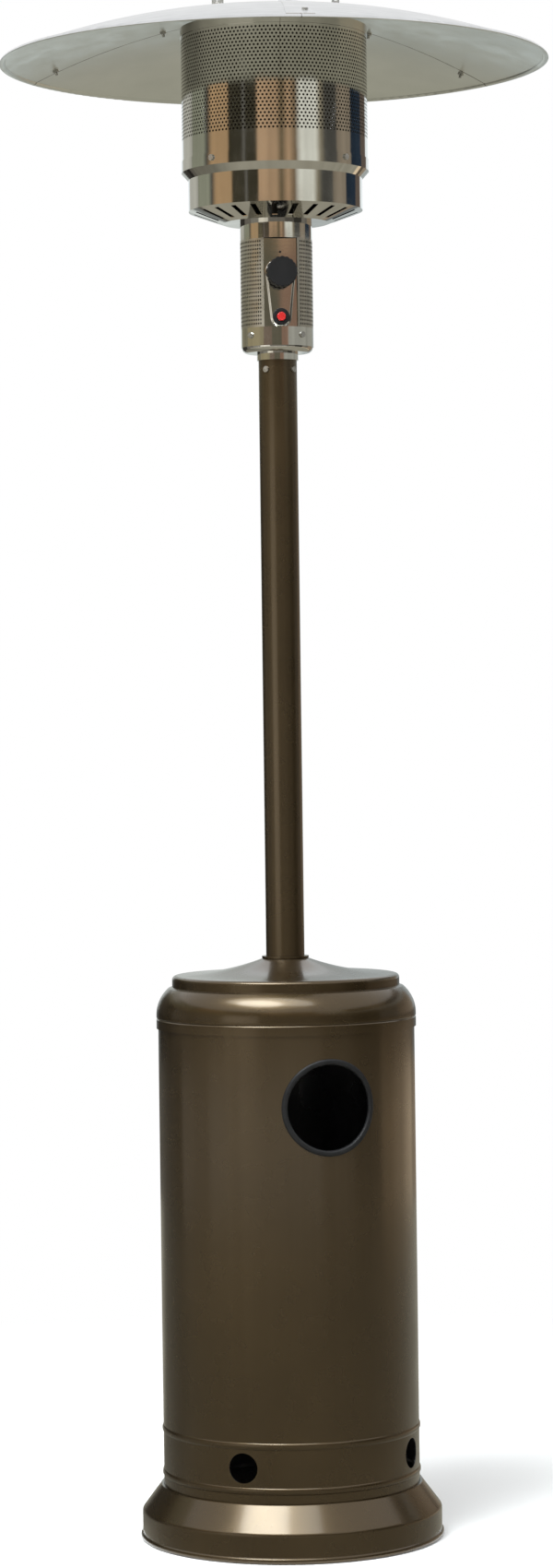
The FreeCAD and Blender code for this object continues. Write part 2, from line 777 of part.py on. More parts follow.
def make_housing():
    """Rolled shell of the tank housing with its beads, vents and access opening."""
    inside = "(housing_radius - housing_gauge)"
    outer = [(inside, LEDGE), ("housing_radius", LEDGE)]
    inner = []
    for height in ("lower_bead_height", "upper_bead_height"):
        start = f"({LEDGE} + {height} - bead_width / 2)"
        end = f"({LEDGE} + {height} + bead_width / 2)"
        outer += [("housing_radius", start), ("housing_radius", end, "left", BEAD_ROUND)]
        inner = [(inside, end), (inside, start, "right", BEAD_ROUND)] + inner
    outer += [("housing_radius", HOUSING_TOP), (inside, HOUSING_TOP)]
    shell = turned("housing_shell", outer + inner)
    depth = "(2 * access_radius)"
    access = facing(size("access_azimuth"), size("housing_radius - access_radius"), size(ACCESS_AXIS))
    vent_distance = "housing_radius - vent_radius"
    vents = round_places(facing, "vent_azimuth", VENT_COUNT, vent_distance, f"{LEDGE} + vent_height")
    bores = [("access_radius", depth, access)]
    bores += [("vent_radius", "(2 * vent_radius)", place) for place in vents]
    node(bored("housing_shell", shell, bores))


def make_opening_trim():
    """Channel ring that grips the edge of the access opening and follows the shell's curve."""
    flange = "(access_radius + trim_width)"
    inside = "(housing_radius - housing_gauge)"
    low = f"({ACCESS_AXIS} - {flange} - trim_wall)"
    high = f"({ACCESS_AXIS} + {flange} + trim_wall)"
    band = turned("trim_band", rectangle(f"{inside} - trim_proud", "housing_radius + trim_proud", low, high))
    wall = turned("trim_wall_band", rectangle(f"{inside} - fit", "housing_radius + fit", low, high))
    depth = f"(2 * {flange})"
    place = facing(size("access_azimuth"), size(f"housing_radius - {flange}"), size(ACCESS_AXIS))
    disc = doc.addObject("Part::Common", "trim_disc")
    disc.Base = band
    disc.Tool = cylinder("trim_outside", flange, depth, place)
    ring = cut("trim_ring", disc, [cylinder("trim_inside", "access_radius - trim_wall", depth, place)])
    groove = cut("trim_groove", wall, [cylinder("trim_seat", "access_radius - fit", depth, place)])
    node(cut("opening_trim", ring, [groove]))


def make_lid():
    """Pressed lid: skirt over the shell, creased seat, rounded shoulder, step and hollow cone."""
    inside = f"({LID_RADIUS} - housing_gauge)"
    step = f"({LID_RADIUS} - step_inset)"
    node(turned("housing_lid", [
        ("housing_radius + fit", f"{HOUSING_TOP} - lid_drop"),
        (LID_RADIUS, f"{HOUSING_TOP} - lid_drop"),
        (LID_RADIUS, f"{LID_CREASE} - crease_half"),
        (f"{LID_RADIUS} - crease_depth", LID_CREASE),
        (LID_RADIUS, f"{LID_CREASE} + crease_half"),
        (LID_RADIUS, SHOULDER),
        (f"{LID_RADIUS} - shoulder_inset", STEP, "left", "shoulder_round"),
        (step, f"{STEP} + step_foot"),
        (step, f"{STEP_TOP} - step_round"),
        (f"{step} - step_round", STEP_TOP, "left", "step_round"),
        (LID_HOLE, LID_TOP, "right", "cone_round"),
        (LID_HOLE, f"{LID_TOP} - housing_gauge"),
        (f"{step} - step_round", f"{STEP_TOP} - housing_gauge", "left", "cone_round"),
        (f"{step} - housing_gauge", f"{STEP_TOP} - step_round", "right", "step_round - housing_gauge"),
        (f"{step} - housing_gauge", f"{STEP} + step_foot - housing_gauge"),
        (f"{LID_RADIUS} - shoulder_inset - housing_gauge / 2", f"{STEP} - housing_gauge"),
        (inside, SHOULDER, "right", "shoulder_round - housing_gauge"),
        (inside, f"{LID_CREASE} + crease_half"),
        ("housing_radius - lid_ledge", LID_CREASE),
        ("housing_radius - lid_ledge", HOUSING_TOP),
        ("housing_radius + fit", HOUSING_TOP),
    ]))


def make_collar():
    """Collar that slides on the pole and carries the lid's neck."""
    flange_base = f"({LID_TOP} + rest)"
    node(turned("pole_collar", [
        (POLE_FIT, f"{SOCKET_TOP} + rest"),
        (COLLAR_RADIUS, f"{SOCKET_TOP} + rest"),
        (COLLAR_RADIUS, flange_base),
        (f"{COLLAR_RADIUS} + collar_flange", flange_base),
        (f"{COLLAR_RADIUS} + collar_flange", f"{flange_base} + collar_flange_height"),
        (POLE_FIT, f"{flange_base} + collar_flange_height"),
    ]))


def control_screw_places(distance):
    """Frames of the four screws that hold the control housing on its cup."""
    height = f"{CONTROL_BASE} + control_screw_height"
    return round_places(facing, "control_screw_azimuth", CONTROL_SCREW_COUNT, distance, height)


def make_control_housing():
    """Sleeve with the panel's window, the cup under it, and the screws between them."""
    sleeve = turned("control_housing", [
        (CONTROL_INNER, f"{CONTROL_BASE} + control_round"),
        ("control_radius", f"{CONTROL_BASE} + control_round"),
        ("control_radius", CONTROL_TOP),
        (f"{CONTROL_INNER} - control_flange", CONTROL_TOP),
        (f"{CONTROL_INNER} - control_flange", f"{CONTROL_TOP} - control_gauge"),
        (CONTROL_INNER, f"{CONTROL_TOP} - control_gauge"),
    ])
    place = facing(size("panel_azimuth"), size(PANEL_FACE), size(PANEL_MID))
    opening = ("panel_width - 2 * panel_lap", "panel_length - 2 * panel_lap")
    window = block("control_window", *opening, "control_radius", place)
    holes = [(SCREW_HOLE, "control_radius", frame) for frame in control_screw_places("control_radius / 2")]
    tools = [window] + [cylinder("control_screw_hole", *hole) for hole in holes]
    node(cut("control_housing", sleeve, tools))
    cup = turned("control_cup", [
        (NECK_BORE, CONTROL_BASE),
        (f"{CUP_RADIUS} - control_round", CONTROL_BASE),
        (CUP_RADIUS, f"{CONTROL_BASE} + control_round", "left", "control_round"),
        (CUP_RADIUS, f"{CONTROL_BASE} + cup_height"),
        (f"{CUP_RADIUS} - control_gauge", f"{CONTROL_BASE} + cup_height"),
        (f"{CUP_RADIUS} - control_gauge", f"{CONTROL_BASE} + control_round"),
        (f"{CUP_RADIUS} - control_round", f"{CONTROL_BASE} + control_gauge", "right",
         "control_round - control_gauge"),
        (NECK_BORE, f"{CONTROL_BASE} + control_gauge"),
    ])
    node(bored("control_cup", cup, holes))
    fasteners("control_housing_screws", control_screw_places("control_radius"), SCREW)


def make_control_panel():
    """Flat panel behind the window, with a raised teardrop round the knob and the igniter."""
    knob = "(knob_height - panel_height)"
    igniter = "(igniter_height - panel_height)"
    lean = "((emboss_top_radius - emboss_end_radius) / (knob_height - igniter_height))"
    across = f"sqrt(1 - {lean}^2)"
    top_side = (f"emboss_top_radius * {across}", f"{knob} + emboss_top_radius * {lean}")
    end_side = (f"emboss_end_radius * {across}", f"{igniter} + emboss_end_radius * {lean}")
    body = new_body("control_panel")
    plate = new_sketch(body, "XY_Plane")
    half_width = "panel_width / 2"
    half_length = "panel_length / 2"
    draw_outline(plate, rectangle(f"-{half_width}", half_width, f"-{half_length}", half_length))
    pad(body, plate, "panel_gauge")
    emboss = new_sketch(body, "XY_Plane")
    draw_outline(emboss, [
        (*end_side, "left", "emboss_end_radius"),
        top_side,
        (f"-{top_side[0]}", top_side[1], "left", "emboss_top_radius"),
        (f"-{end_side[0]}", end_side[1]),
        ("0", f"{igniter} - emboss_end_radius", "left", "emboss_end_radius"),
    ])
    pad(body, emboss, "panel_gauge + emboss_rise")
    holes = new_sketch(body, "XY_Plane")
    draw_circle(holes, "0", knob, SPINDLE_HOLE)
    draw_circle(holes, "0", igniter, "bezel_barrel_radius + fit")
    pocket_up(body, holes)
    body.Placement = facing(size("panel_azimuth"), size(f"{PANEL_FACE} - panel_gauge"), size(PANEL_MID))
    node(body)


def make_gas_valve():
    """Valve block with the pilot arm and the boss that seats it on the panel, and its hose inlet."""
    azimuth = size("panel_azimuth")
    arm_width = "(2 * pilot_spread + inlet_nut_height)"
    arm_place = beside_valve(f"-{VALVE_ARM} / 2", "0", f"{VALVE_TOP} - valve_arm_height")
    valve_place = standing(azimuth, 0, size(VALVE_BASE))
    solids = [
        block("valve_block", "valve_width", "valve_depth", "valve_length", valve_place),
        block("valve_arm", VALVE_ARM, arm_width, "valve_arm_height", arm_place),
        cylinder("valve_boss", "valve_boss_radius", VALVE_BOSS,
                 facing(azimuth, size("valve_depth / 2"), size(KNOB_AXIS))),
    ]
    seat = facing(azimuth, size("valve_depth / 2 - spindle_depth"), size(KNOB_AXIS))
    bores = [(SPINDLE_HOLE, f"{VALVE_BOSS} + spindle_depth", seat)]
    node(bored("gas_valve", fused("gas_valve", solids), bores))
    place = hanging(azimuth, 0, size(VALVE_BASE))
    inlet = fused("gas_inlet_fitting", [
        hexagon("inlet_nut", "inlet_nut_radius", "inlet_nut_height", place),
        cylinder("inlet_tail", "inlet_radius", "inlet_nut_height + inlet_length", place),
    ])
    node(bored("gas_inlet_fitting", inlet, [("inlet_bore", "inlet_nut_height + inlet_length", place)]))


def make_knob():
    """Valve spindle and the fluted knob that is pushed and turned on it."""
    azimuth = size("panel_azimuth")
    start = "(valve_depth / 2 - spindle_depth + rest)"
    knob_back = f"({PANEL_FACE} + emboss_rise + knob_stand)"
    spindle_length = f"({knob_back} + spindle_grip - {start})"
    place = facing(azimuth, size(start), size(KNOB_AXIS))
    node(turned("valve_spindle", rectangle("0", "spindle_radius", "0", spindle_length), place))
    bore_end = "spindle_grip + knob_travel + rest"
    body = turned("control_knob", [
        (SPINDLE_HOLE, "0"),
        ("knob_radius", "0"),
        ("knob_radius", "knob_depth - knob_crown"),
        ("knob_radius - knob_crown", "knob_depth", "left", "knob_crown"),
        ("0", "knob_depth"),
        ("0", bore_end),
        (SPINDLE_HOLE, bore_end),
    ], facing(azimuth, size(knob_back), size(KNOB_AXIS)))
    flute = new_sketch(body, "XY_Plane")
    draw_circle(flute, "knob_radius + flute_radius / 2", "0", "flute_radius")
    repeat_round(body, pocket_up(body, flute), "flute_count")
    node(body)


def make_igniter():
    """Igniter: bezel through the panel, barrel behind it, and the push button."""
    place = facing(size("panel_azimuth"), size(f"{PANEL_FACE} + emboss_rise"), size(IGNITER_AXIS))
    bore = "(button_radius + slip)"
    stem_bore = "(button_stem_radius + slip)"
    length = f"({PANEL_FACE} + emboss_rise - igniter_clear)"
    back = "(button_travel + rest - bezel_barrel)"
    node(turned("igniter_bezel", [
        (bore, "-bezel_barrel"),
        ("bezel_barrel_radius", "-bezel_barrel"),
        ("bezel_barrel_radius", "0"),
        ("bezel_radius", "0"),
        ("bezel_radius", "bezel_rise / 2"),
        ("bezel_radius - bezel_rise / 2", "bezel_rise", "left", "bezel_rise / 2"),
        (bore, "bezel_rise"),
    ], place))
    node(turned("igniter_body", [
        ("0", f"-{length}"),
        ("igniter_radius", f"-{length}"),
        ("igniter_radius", "-bezel_barrel"),
        (stem_bore, "-bezel_barrel"),
        (stem_bore, "-bezel_barrel - button_stem"),
        ("0", "-bezel_barrel - button_stem"),
    ], place))
    node(turned("igniter_button", [
        ("0", f"{back} - button_stem"),
        ("button_stem_radius", f"{back} - button_stem"),
        ("button_stem_radius", back),
        ("button_radius", back),
        ("button_radius", "button_rise - button_round"),
        ("button_radius - button_round", "button_rise", "left", "button_round"),
        ("0", "button_rise"),
    ], place))


def make_tilt_switch():
    """Tilt switch standing on the cup's floor behind the pole's axis."""
    distance = size(f"{NECK_BORE} + tilt_setback + tilt_width / 2")
    place = standing(size("panel_azimuth + 180"), distance, size(f"{CONTROL_BASE} + control_gauge"))
    node(block("tilt_switch", "tilt_length", "tilt_width", "tilt_height", place))


def screen_screw_places(distance):
    """Frames of the four screws through the bowl's band and the emitter screen."""
    height = f"{BOWL_TOP} - screen_screw_drop"
    return round_places(facing, "screen_screw_azimuth", SCREEN_SCREW_COUNT, distance, height)


def make_burner_bowl():
    """Pressed bowl with a slotted cone, a stepped rim and the band that holds the screen."""
    centre = "(venturi_radius + fit)"
    body = turned("burner_bowl", [
        (centre, CONTROL_TOP),
        ("bowl_floor_radius", CONTROL_TOP),
        (BOWL_RADIUS, BOWL_CONE_TOP),
        (BOWL_RADIUS, BOWL_STEP),
        (BAND_OUTER, BOWL_BAND),
        (BAND_OUTER, BOWL_TOP),
        (BAND_INNER, BOWL_TOP),
        (BAND_INNER, f"{BOWL_BAND} + bowl_gauge / 2"),
        (f"{BOWL_RADIUS} - bowl_gauge", f"{BOWL_STEP} + bowl_gauge / 2"),
        (f"{BOWL_RADIUS} - bowl_gauge", f"{BOWL_CONE_TOP} + bowl_gauge"),
        ("bowl_floor_radius", BOWL_INSIDE),
        (centre, BOWL_INSIDE),
    ])
    slot = new_sketch(body, "XY_Plane")
    half = "slot_width / 2"
    draw_outline(slot, rectangle(
        "bowl_floor_radius + slot_margin", f"{BOWL_RADIUS} - slot_margin", f"-{half}", half))
    repeat_round(body, pocket_up(body, slot), "slot_count")
    bores = [(SCREW_HOLE, "screen_radius", place) for place in screen_screw_places("screen_radius / 2")]
    for radius, back in (("pilot_tube_radius", "0"), ("probe_radius", "pilot_spread"),
                         ("electrode_radius", "-pilot_spread")):
        bores.append((f"{radius} + fit", "bowl_gauge", beside_valve(f"-{PILOT_OFFSET}", back, CONTROL_TOP)))
    node(bored("burner_bowl", body, bores))


def make_emitter():
    """Emitter screen, the screws that hold it in the bowl's band, and its cap."""
    screen = turned("emitter_screen", rectangle(
        "screen_radius - screen_gauge", "screen_radius", SCREEN_BASE, SCREEN_TOP))
    holes = [(SCREW_HOLE, "screen_radius", place) for place in screen_screw_places("screen_radius / 2")]
    node(bored("emitter_screen", screen, holes))
    fasteners("screen_screws", screen_screw_places(BAND_OUTER), SCREW)
    inside = "(screen_radius + fit)"
    cap = turned("emitter_cap", [
        ("0", SCREEN_TOP),
        (inside, SCREEN_TOP),
        (inside, f"{SCREEN_TOP} - cap_drop"),
        (f"{inside} + cap_gauge", f"{SCREEN_TOP} - cap_drop"),
        (f"{inside} + cap_gauge", CAP_TOP),
        ("0", CAP_TOP),
    ])
    node(bored("emitter_cap", cap, [(STUD_HOLE, "cap_gauge", place) for place in stud_places(SCREEN_TOP)]))


def make_burner():
    """Gas way on the pole's axis: valve outlet, injector, mixing tube and burner head."""
    bore = "(venturi_radius - venturi_wall)"
    flange = f"({BOWL_INSIDE} + venturi_wall)"
    node(turned("valve_outlet_tube", rectangle("outlet_bore", "outlet_radius", VALVE_TOP, INJECTOR_BASE)))
    node(turned("gas_injector", rectangle(
        "injector_bore", "injector_radius", INJECTOR_BASE, f"{INJECTOR_BASE} + injector_height")))
    node(turned("venturi_tube", [
        (bore, CONTROL_TOP),
        ("venturi_radius", CONTROL_TOP),
        ("venturi_radius", BOWL_INSIDE),
        ("venturi_radius + venturi_flange", BOWL_INSIDE),
        ("venturi_radius + venturi_flange", flange),
        ("venturi_radius", flange),
        ("venturi_radius", VENTURI_TOP),
        (bore, VENTURI_TOP),
    ]))
    top = f"({VENTURI_TOP} + burner_height)"
    chamber = "(burner_radius - burner_wall)"
    head = turned("burner_head", [
        (bore, VENTURI_TOP),
        ("burner_radius", VENTURI_TOP),
        ("burner_radius", top),
        ("0", top),
        ("0", f"{top} - burner_wall"),
        (chamber, f"{top} - burner_wall"),
        (chamber, f"{VENTURI_TOP} + burner_wall"),
        (bore, f"{VENTURI_TOP} + burner_wall"),
    ])
    count = round(size("port_count"))
    ports = round_places(facing, "panel_azimuth", count, f"{chamber} - burner_wall", PORT_HEIGHT)
    node(bored("burner_head", head, [("port_radius", "3 * burner_wall", place) for place in ports]))


def make_pilot():
    """Pilot tube and burner, thermocouple and spark electrode beside the burner head."""
    side = f"-{PILOT_OFFSET}"
    foot = beside_valve(side, "0", VALVE_TOP)
    node(cylinder("pilot_tube", "pilot_tube_radius", f"{PILOT_BASE} - {VALVE_TOP}", foot))
    node(turned("pilot_burner", [
        ("0", "0"),
        ("pilot_radius", "0"),
        ("pilot_radius", "pilot_height"),
        ("pilot_radius / 2", "pilot_height"),
        ("pilot_radius / 2", "pilot_radius"),
        ("0", "pilot_radius"),
    ], beside_valve(side, "0", PILOT_BASE)))
    probe = beside_valve(side, "pilot_spread", VALVE_TOP)
    node(cylinder("thermocouple", "probe_radius", f"{PORT_HEIGHT} - {VALVE_TOP}", probe))
    floor = beside_valve(side, "-pilot_spread", CONTROL_TOP)
    fasteners("ignition_electrode", [floor], [
        (cylinder, "electrode_radius", "0", f"{PILOT_BASE} - {CONTROL_TOP}"),
        (cylinder, "electrode_radius + electrode_collar", "bowl_gauge", "electrode_collar_height"),
        (cylinder, "electrode_tip_radius", "0", f"{PORT_HEIGHT} - {CONTROL_TOP}"),
    ])


def dome_band(low, high, start, end):
    """Outline of a stretch of dome between two lifts and two radii."""
    return [
        (start, dome_height(start, low)),
        (end, dome_height(end, low), "right", f"{DOME_SPHERE} + {low}"),
        (end, dome_height(end, high)),
        (start, dome_height(start, high), "left", f"{DOME_SPHERE} + {high}"),
    ]


def make_reflector_panel(number, label):
    """A third of the dome with a rolled rim and a raised strip that laps the next panel."""
    rim = "(dome_radius - rim_depth)"
    underside = "(-dome_gauge)"
    start, lower, upper, close = dome_band(underside, "0", "dome_eye", rim)
    tip = ("dome_radius", f"{dome_height(rim)} - rim_drop", "left", "rim_round")
    body = new_body(label)
    revolve(body, [start, lower, tip, (*upper, "left", "rim_round"), close],
            size("seam_gap / 2"), f"{SECTOR} - seam_gap")
    seam = ("dome_eye", "(dome_radius - seam_end)")
    root = dome_band("(-dome_gauge / 2)", "(dome_gauge + seam_lift)", *seam)
    revolve(body, root, SECTOR - size("seam_lap"), "seam_lap - seam_gap / 2")
    lap = dome_band("seam_lift", "(dome_gauge + seam_lift)", *seam)
    revolve(body, lap, SECTOR - size("seam_gap / 2"), "seam_lap + seam_gap / 2")
    azimuth = size("seam_azimuth") + number * SECTOR
    body.Placement = around(azimuth)
    stud = standing(azimuth + SECTOR / 2, size("stud_circle"), size(SPACER_TOP))
    bores = [(STUD_HOLE, "spacer_length", stud)]
    for edge in (azimuth, azimuth + SECTOR):
        for radius in SEAM_BOLTS:
            place = on_dome(radius, edge + size("seam_lap / 2"), "-2 * dome_gauge")
            bores.append((SCREW_HOLE, "5 * dome_gauge", place))
    node(bored(label, body, bores))


def make_reflector():
    """Three panels with their seam bolts, and the studs, spacers and wing nuts that carry them."""
    for number, label in enumerate(PANEL_NAMES):
        make_reflector_panel(number, label)
    shank = "(3 * dome_gauge + 2 * seam_lift + screw_length)"
    fasteners("seam_bolts", seam_places("dome_gauge + seam_lift"), [
        (cylinder, "screw_head_radius", "0", "screw_head_height"),
        (cylinder, "screw_radius", f"-{shank}", shank),
    ])
    nut_top = "-dome_gauge - seam_lift - screw_head_height"
    nuts("seam_nuts", seam_places(nut_top), "screw_head_radius", "screw_head_height", SCREW_HOLE)
    washer_base = dome_height("stud_circle - washer_radius")
    wing_base = f"({washer_base} + washer_gauge)"
    stud_length = f"({wing_base} + wing_hub_height + bolt_tail - {SCREEN_TOP})"
    fasteners("reflector_studs", stud_places(SCREEN_TOP), [
        (hexagon, "bolt_head_radius", "-bolt_head_height", "bolt_head_height"),
        (cylinder, "stud_radius", "0", stud_length),
    ])
    make_rings("stud_spacers", stud_places(CAP_TOP), "spacer_radius", "spacer_length")
    make_rings("stud_washers", stud_places(washer_base), "washer_radius", "washer_gauge")
    make_wing_nuts(stud_places(wing_base))


def make_rings(label, places, radius, height):
    """A plain ring on each stud."""
    rings = [turned(f"{label}_ring", rectangle(STUD_HOLE, radius, "0", height), place) for place in places]
    node(grouped(label, rings))


def make_wing_nuts(places):
    """A wing nut on each stud."""
    copies = []
    for place in places:
        blank = fused("wing_nut", [
            cylinder("wing_hub", "wing_hub_radius", "wing_hub_height", place),
            block("wings", "2 * wing_span", "wing_gauge", "wing_height", raised(place, "wing_hub_height / 2")),
        ])
        tools = fused("wing_nut_bore", [
            cylinder("wing_thread", STUD_HOLE, "wing_hub_height", place),
            cylinder("wing_gap", "wing_hub_radius", "wing_height", raised(place, "wing_hub_height")),
        ])
        copies.append(cut("wing_nut_copy", blank, [tools]))
    node(grouped("wing_nuts", copies))


def check_and_write():
    """Recomputes, checks every object and writes one file for each sub-part."""
    doc.recompute()
    for feature in doc.Objects:
        if "Invalid" in feature.State or "Error" in feature.State:
            raise RuntimeError(f"{feature.Label} failed: {feature.State}")
    for feature in nodes:
        if feature.Shape.isNull() or not feature.Shape.isValid() or not feature.Shape.Solids:
            raise RuntimeError(f"{feature.Label} has no valid solid")
    os.makedirs("parts", exist_ok=True)
    for feature in nodes:
        solids = feature.Shape.Solids
        shape = solids[0] if len(solids) == 1 else Part.makeCompound(solids)
        shape.exportStep(f"parts/{feature.Label}.step")
        print(f"{feature.Label}: {len(solids)} solid(s), {feature.Shape.Volume:.1f} mm3")


fill_sheet()
make_base_plate()
make_legs()
make_leg_bolts()
make_post_mount()
make_pole()
make_collar()
make_housing()
make_lid()
make_opening_trim()
make_control_housing()
make_control_panel()
make_gas_valve()
make_knob()
make_igniter()
make_tilt_switch()
make_burner_bowl()
make_burner()
make_pilot()
make_emitter()
make_reflector()
check_and_write()
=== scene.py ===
"""Looks of the gas patio heater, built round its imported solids."""
import json
import math

import bpy
from mathutils import Matrix, Vector


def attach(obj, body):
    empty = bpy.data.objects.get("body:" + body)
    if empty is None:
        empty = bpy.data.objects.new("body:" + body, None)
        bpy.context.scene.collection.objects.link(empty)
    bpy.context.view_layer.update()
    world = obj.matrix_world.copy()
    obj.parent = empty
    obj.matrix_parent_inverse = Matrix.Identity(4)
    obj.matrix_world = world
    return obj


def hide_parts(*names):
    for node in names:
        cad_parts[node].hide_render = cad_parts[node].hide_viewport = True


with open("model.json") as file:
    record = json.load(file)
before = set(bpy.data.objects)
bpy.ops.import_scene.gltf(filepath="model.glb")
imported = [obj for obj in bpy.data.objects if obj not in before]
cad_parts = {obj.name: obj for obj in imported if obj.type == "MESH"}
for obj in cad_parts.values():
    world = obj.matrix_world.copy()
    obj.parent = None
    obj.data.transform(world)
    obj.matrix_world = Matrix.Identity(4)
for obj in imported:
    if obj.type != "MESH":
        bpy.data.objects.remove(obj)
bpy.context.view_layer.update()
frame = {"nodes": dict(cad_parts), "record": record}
NODES = frame["nodes"]
SLOT_OF = {part["node"]: part["material_slot"] for part in frame["record"]["subparts"]}

# The camera that sees the heater as the picture does: its place in metres, its lean in radians, its focal
# length and the picture's height in pixels, and the height of its sensor in millimetres.
EYE = (0.0869, -5.9946, 1.2180)
PITCH, YAW, ROLL = -0.01678, -0.01614, -0.01300
FOCAL, HEIGHT = 4375.0, 1700
SENSOR = 36.0

# The flat control panel: its azimuth in degrees, and its face's distance from the upright axis.
PANEL_AZIMUTH, PANEL_FACE = 8.0, 0.04512


def outward(azimuth, radius, height):
    """Point at an azimuth in degrees, counted from the front towards +X."""
    turn = math.radians(azimuth)
    return Vector((radius * math.sin(turn), -radius * math.cos(turn), height))


# Node helpers.

class Shader:
    """A material whose Principled shader is fed by a few procedural layers."""

    def __init__(self, name, **constants):
        self.material = bpy.data.materials.new(name)
        self.material.use_nodes = True
        self.tree = self.material.node_tree
        self.shader = self.tree.nodes["Principled BSDF"]
        for socket, value in constants.items():
            self.shader.inputs[socket.replace("_", " ")].default_value = value
        frame_of_piece = self.add("ShaderNodeTexCoord")
        self.coordinates = frame_of_piece.outputs["Object"]
        self.normal = frame_of_piece.outputs["Normal"]

    def add(self, kind, **settings):
        """Adds a node with its settings."""
        node = self.tree.nodes.new(kind)
        for key, value in settings.items():
            setattr(node, key, value)
        return node

    def link(self, source, target):
        self.tree.links.new(source, target)

    def feed(self, socket, source):
        """Links a socket to a named input of the Principled shader."""
        self.link(source, self.shader.inputs[socket])

    def stretched(self, scale):
        """Object coordinates times a scale per axis."""
        mapping = self.add("ShaderNodeMapping")
        mapping.inputs["Scale"].default_value = scale
        self.link(self.coordinates, mapping.inputs["Vector"])
        return mapping.outputs["Vector"]

    def noise(self, scale, detail=3.0, stretch=None, rough=0.5):
        """Noise in object space, at so many cells to the metre."""
        node = self.add("ShaderNodeTexNoise")
        node.inputs["Scale"].default_value = scale
        node.inputs["Detail"].default_value = detail
        node.inputs["Roughness"].default_value = rough
        self.link(self.stretched(stretch) if stretch else self.coordinates, node.inputs["Vector"])
        return node.outputs["Fac"]

    def maths(self, operation, *values):
        """Result of a named operation on sockets and numbers."""
        node = self.add("ShaderNodeMath", operation=operation)
        for place, value in zip(node.inputs, values):
            if isinstance(value, bpy.types.NodeSocket):
                self.link(value, place)
            else:
                place.default_value = value
        return node.outputs["Value"]

    def turn(self):
        """Turn round the upright axis: a half at the front, and more towards +X."""
        mapping = self.add("ShaderNodeMapping")
        mapping.inputs["Rotation"].default_value = (0.0, 0.0, math.pi / 2.0)
        self.link(self.coordinates, mapping.inputs["Vector"])
        radial = self.add("ShaderNodeTexGradient", gradient_type="RADIAL")
        self.link(mapping.outputs["Vector"], radial.inputs["Vector"])
        return radial.outputs["Fac"]

    def ramp(self, factor, *stops):
        """Colour ramp through (place, colour) stops."""
        node = self.add("ShaderNodeValToRGB")
        elements = node.color_ramp.elements
        while len(elements) < len(stops):
            elements.new(0.5)
        for element, (place, colour) in zip(elements, stops):
            element.position = place
            element.color = (*colour, 1.0)
        self.link(factor, node.inputs["Fac"])
        return node.outputs["Color"]

    def spread(self, factor, low, high, begin=0.3, end=0.7):
        """Maps a value from one range to another, which it does not leave."""
        node = self.add("ShaderNodeMapRange")
        for socket, value in zip(("From Min", "From Max", "To Min", "To Max"), (begin, end, low, high)):
            node.inputs[socket].default_value = value
        self.link(factor, node.inputs["Value"])
        return node.outputs["Result"]

    def mix(self, factor, first, second, blend="MIX"):
        """Mixes two colours, each a socket or a plain colour."""
        node = self.add("ShaderNodeMix", data_type="RGBA", blend_type=blend)
        for key, value in (("Factor", factor), ("A", first), ("B", second)):
            places = [socket for socket in node.inputs if socket.name == key]
            place = places[0] if key == "Factor" else [s for s in places if s.type == "RGBA"][0]
            if isinstance(value, bpy.types.NodeSocket):
                self.link(value, place)
            else:
                place.default_value = value if key == "Factor" else (*value, 1.0)
        return [socket for socket in node.outputs if socket.type == "RGBA"][0]

    def bump(self, *layers):
        """Bump from layers of a height map, its depth in metres and its strength."""
        normal = None
        for height, distance, strength in layers:
            node = self.add("ShaderNodeBump")
            node.inputs["Distance"].default_value = distance
            node.inputs["Strength"].default_value = strength
            self.link(height, node.inputs["Height"])
            if normal:
                self.link(normal, node.inputs["Normal"])
            normal = node.outputs["Normal"]
        self.feed("Normal", normal)

    def inside(self):
        """One on surfaces that face the upright axis, nought on the others."""
        facing = self.add("ShaderNodeVectorMath", operation="DOT_PRODUCT")
        self.link(self.normal, facing.inputs[0])
        self.link(self.stretched((1.0, 1.0, 0.0)), facing.inputs[1])
        inner, outer = -0.004, -0.002
        return self.spread(facing.outputs["Value"], 1.0, 0.0, inner, outer)

    def edges(self, low=0.52, high=0.6):
        """One on convex edges, nought on flats."""
        geometry = self.add("ShaderNodeNewGeometry")
        return self.spread(geometry.outputs["Pointiness"], 0.0, 1.0, low, high)


# Finishes.

def bronze_paint():
    """Bronze metallic paint under a clear coat, with fine flake and orange peel, and grey primer inside."""
    paint = Shader("bronze_paint", Metallic=0.86, Coat_Weight=0.68, Coat_Roughness=0.15)
    clouds = paint.ramp(paint.noise(5.0, 4.0), (0.3, (0.055, 0.0355, 0.0140)),
                        (0.7, (0.070, 0.0455, 0.0185)))
    flake = paint.ramp(paint.noise(1600.0, 2.0), (0.35, (0.88, 0.88, 0.88)), (0.65, (1.12, 1.11, 1.08)))
    body = paint.mix(0.3, clouds, flake, "MULTIPLY")
    # Lighter towards convex edges.
    edge_lightening = paint.spread(paint.edges(0.53, 0.62), 0.0, 0.16, 0.0, 1.0)
    outer = paint.mix(edge_lightening, body, (0.13, 0.095, 0.055))
    primer = paint.ramp(paint.noise(30.0, 4.0), (0.3, (0.19, 0.19, 0.20)), (0.7, (0.25, 0.25, 0.26)))
    paint.feed("Base Color", paint.mix(paint.inside(), outer, primer))
    paint.feed("Roughness", paint.spread(paint.noise(18.0, 3.0), 0.25, 0.31))
    paint.bump((paint.noise(420.0, 2.0), 0.00003, 0.2))
    return paint.material


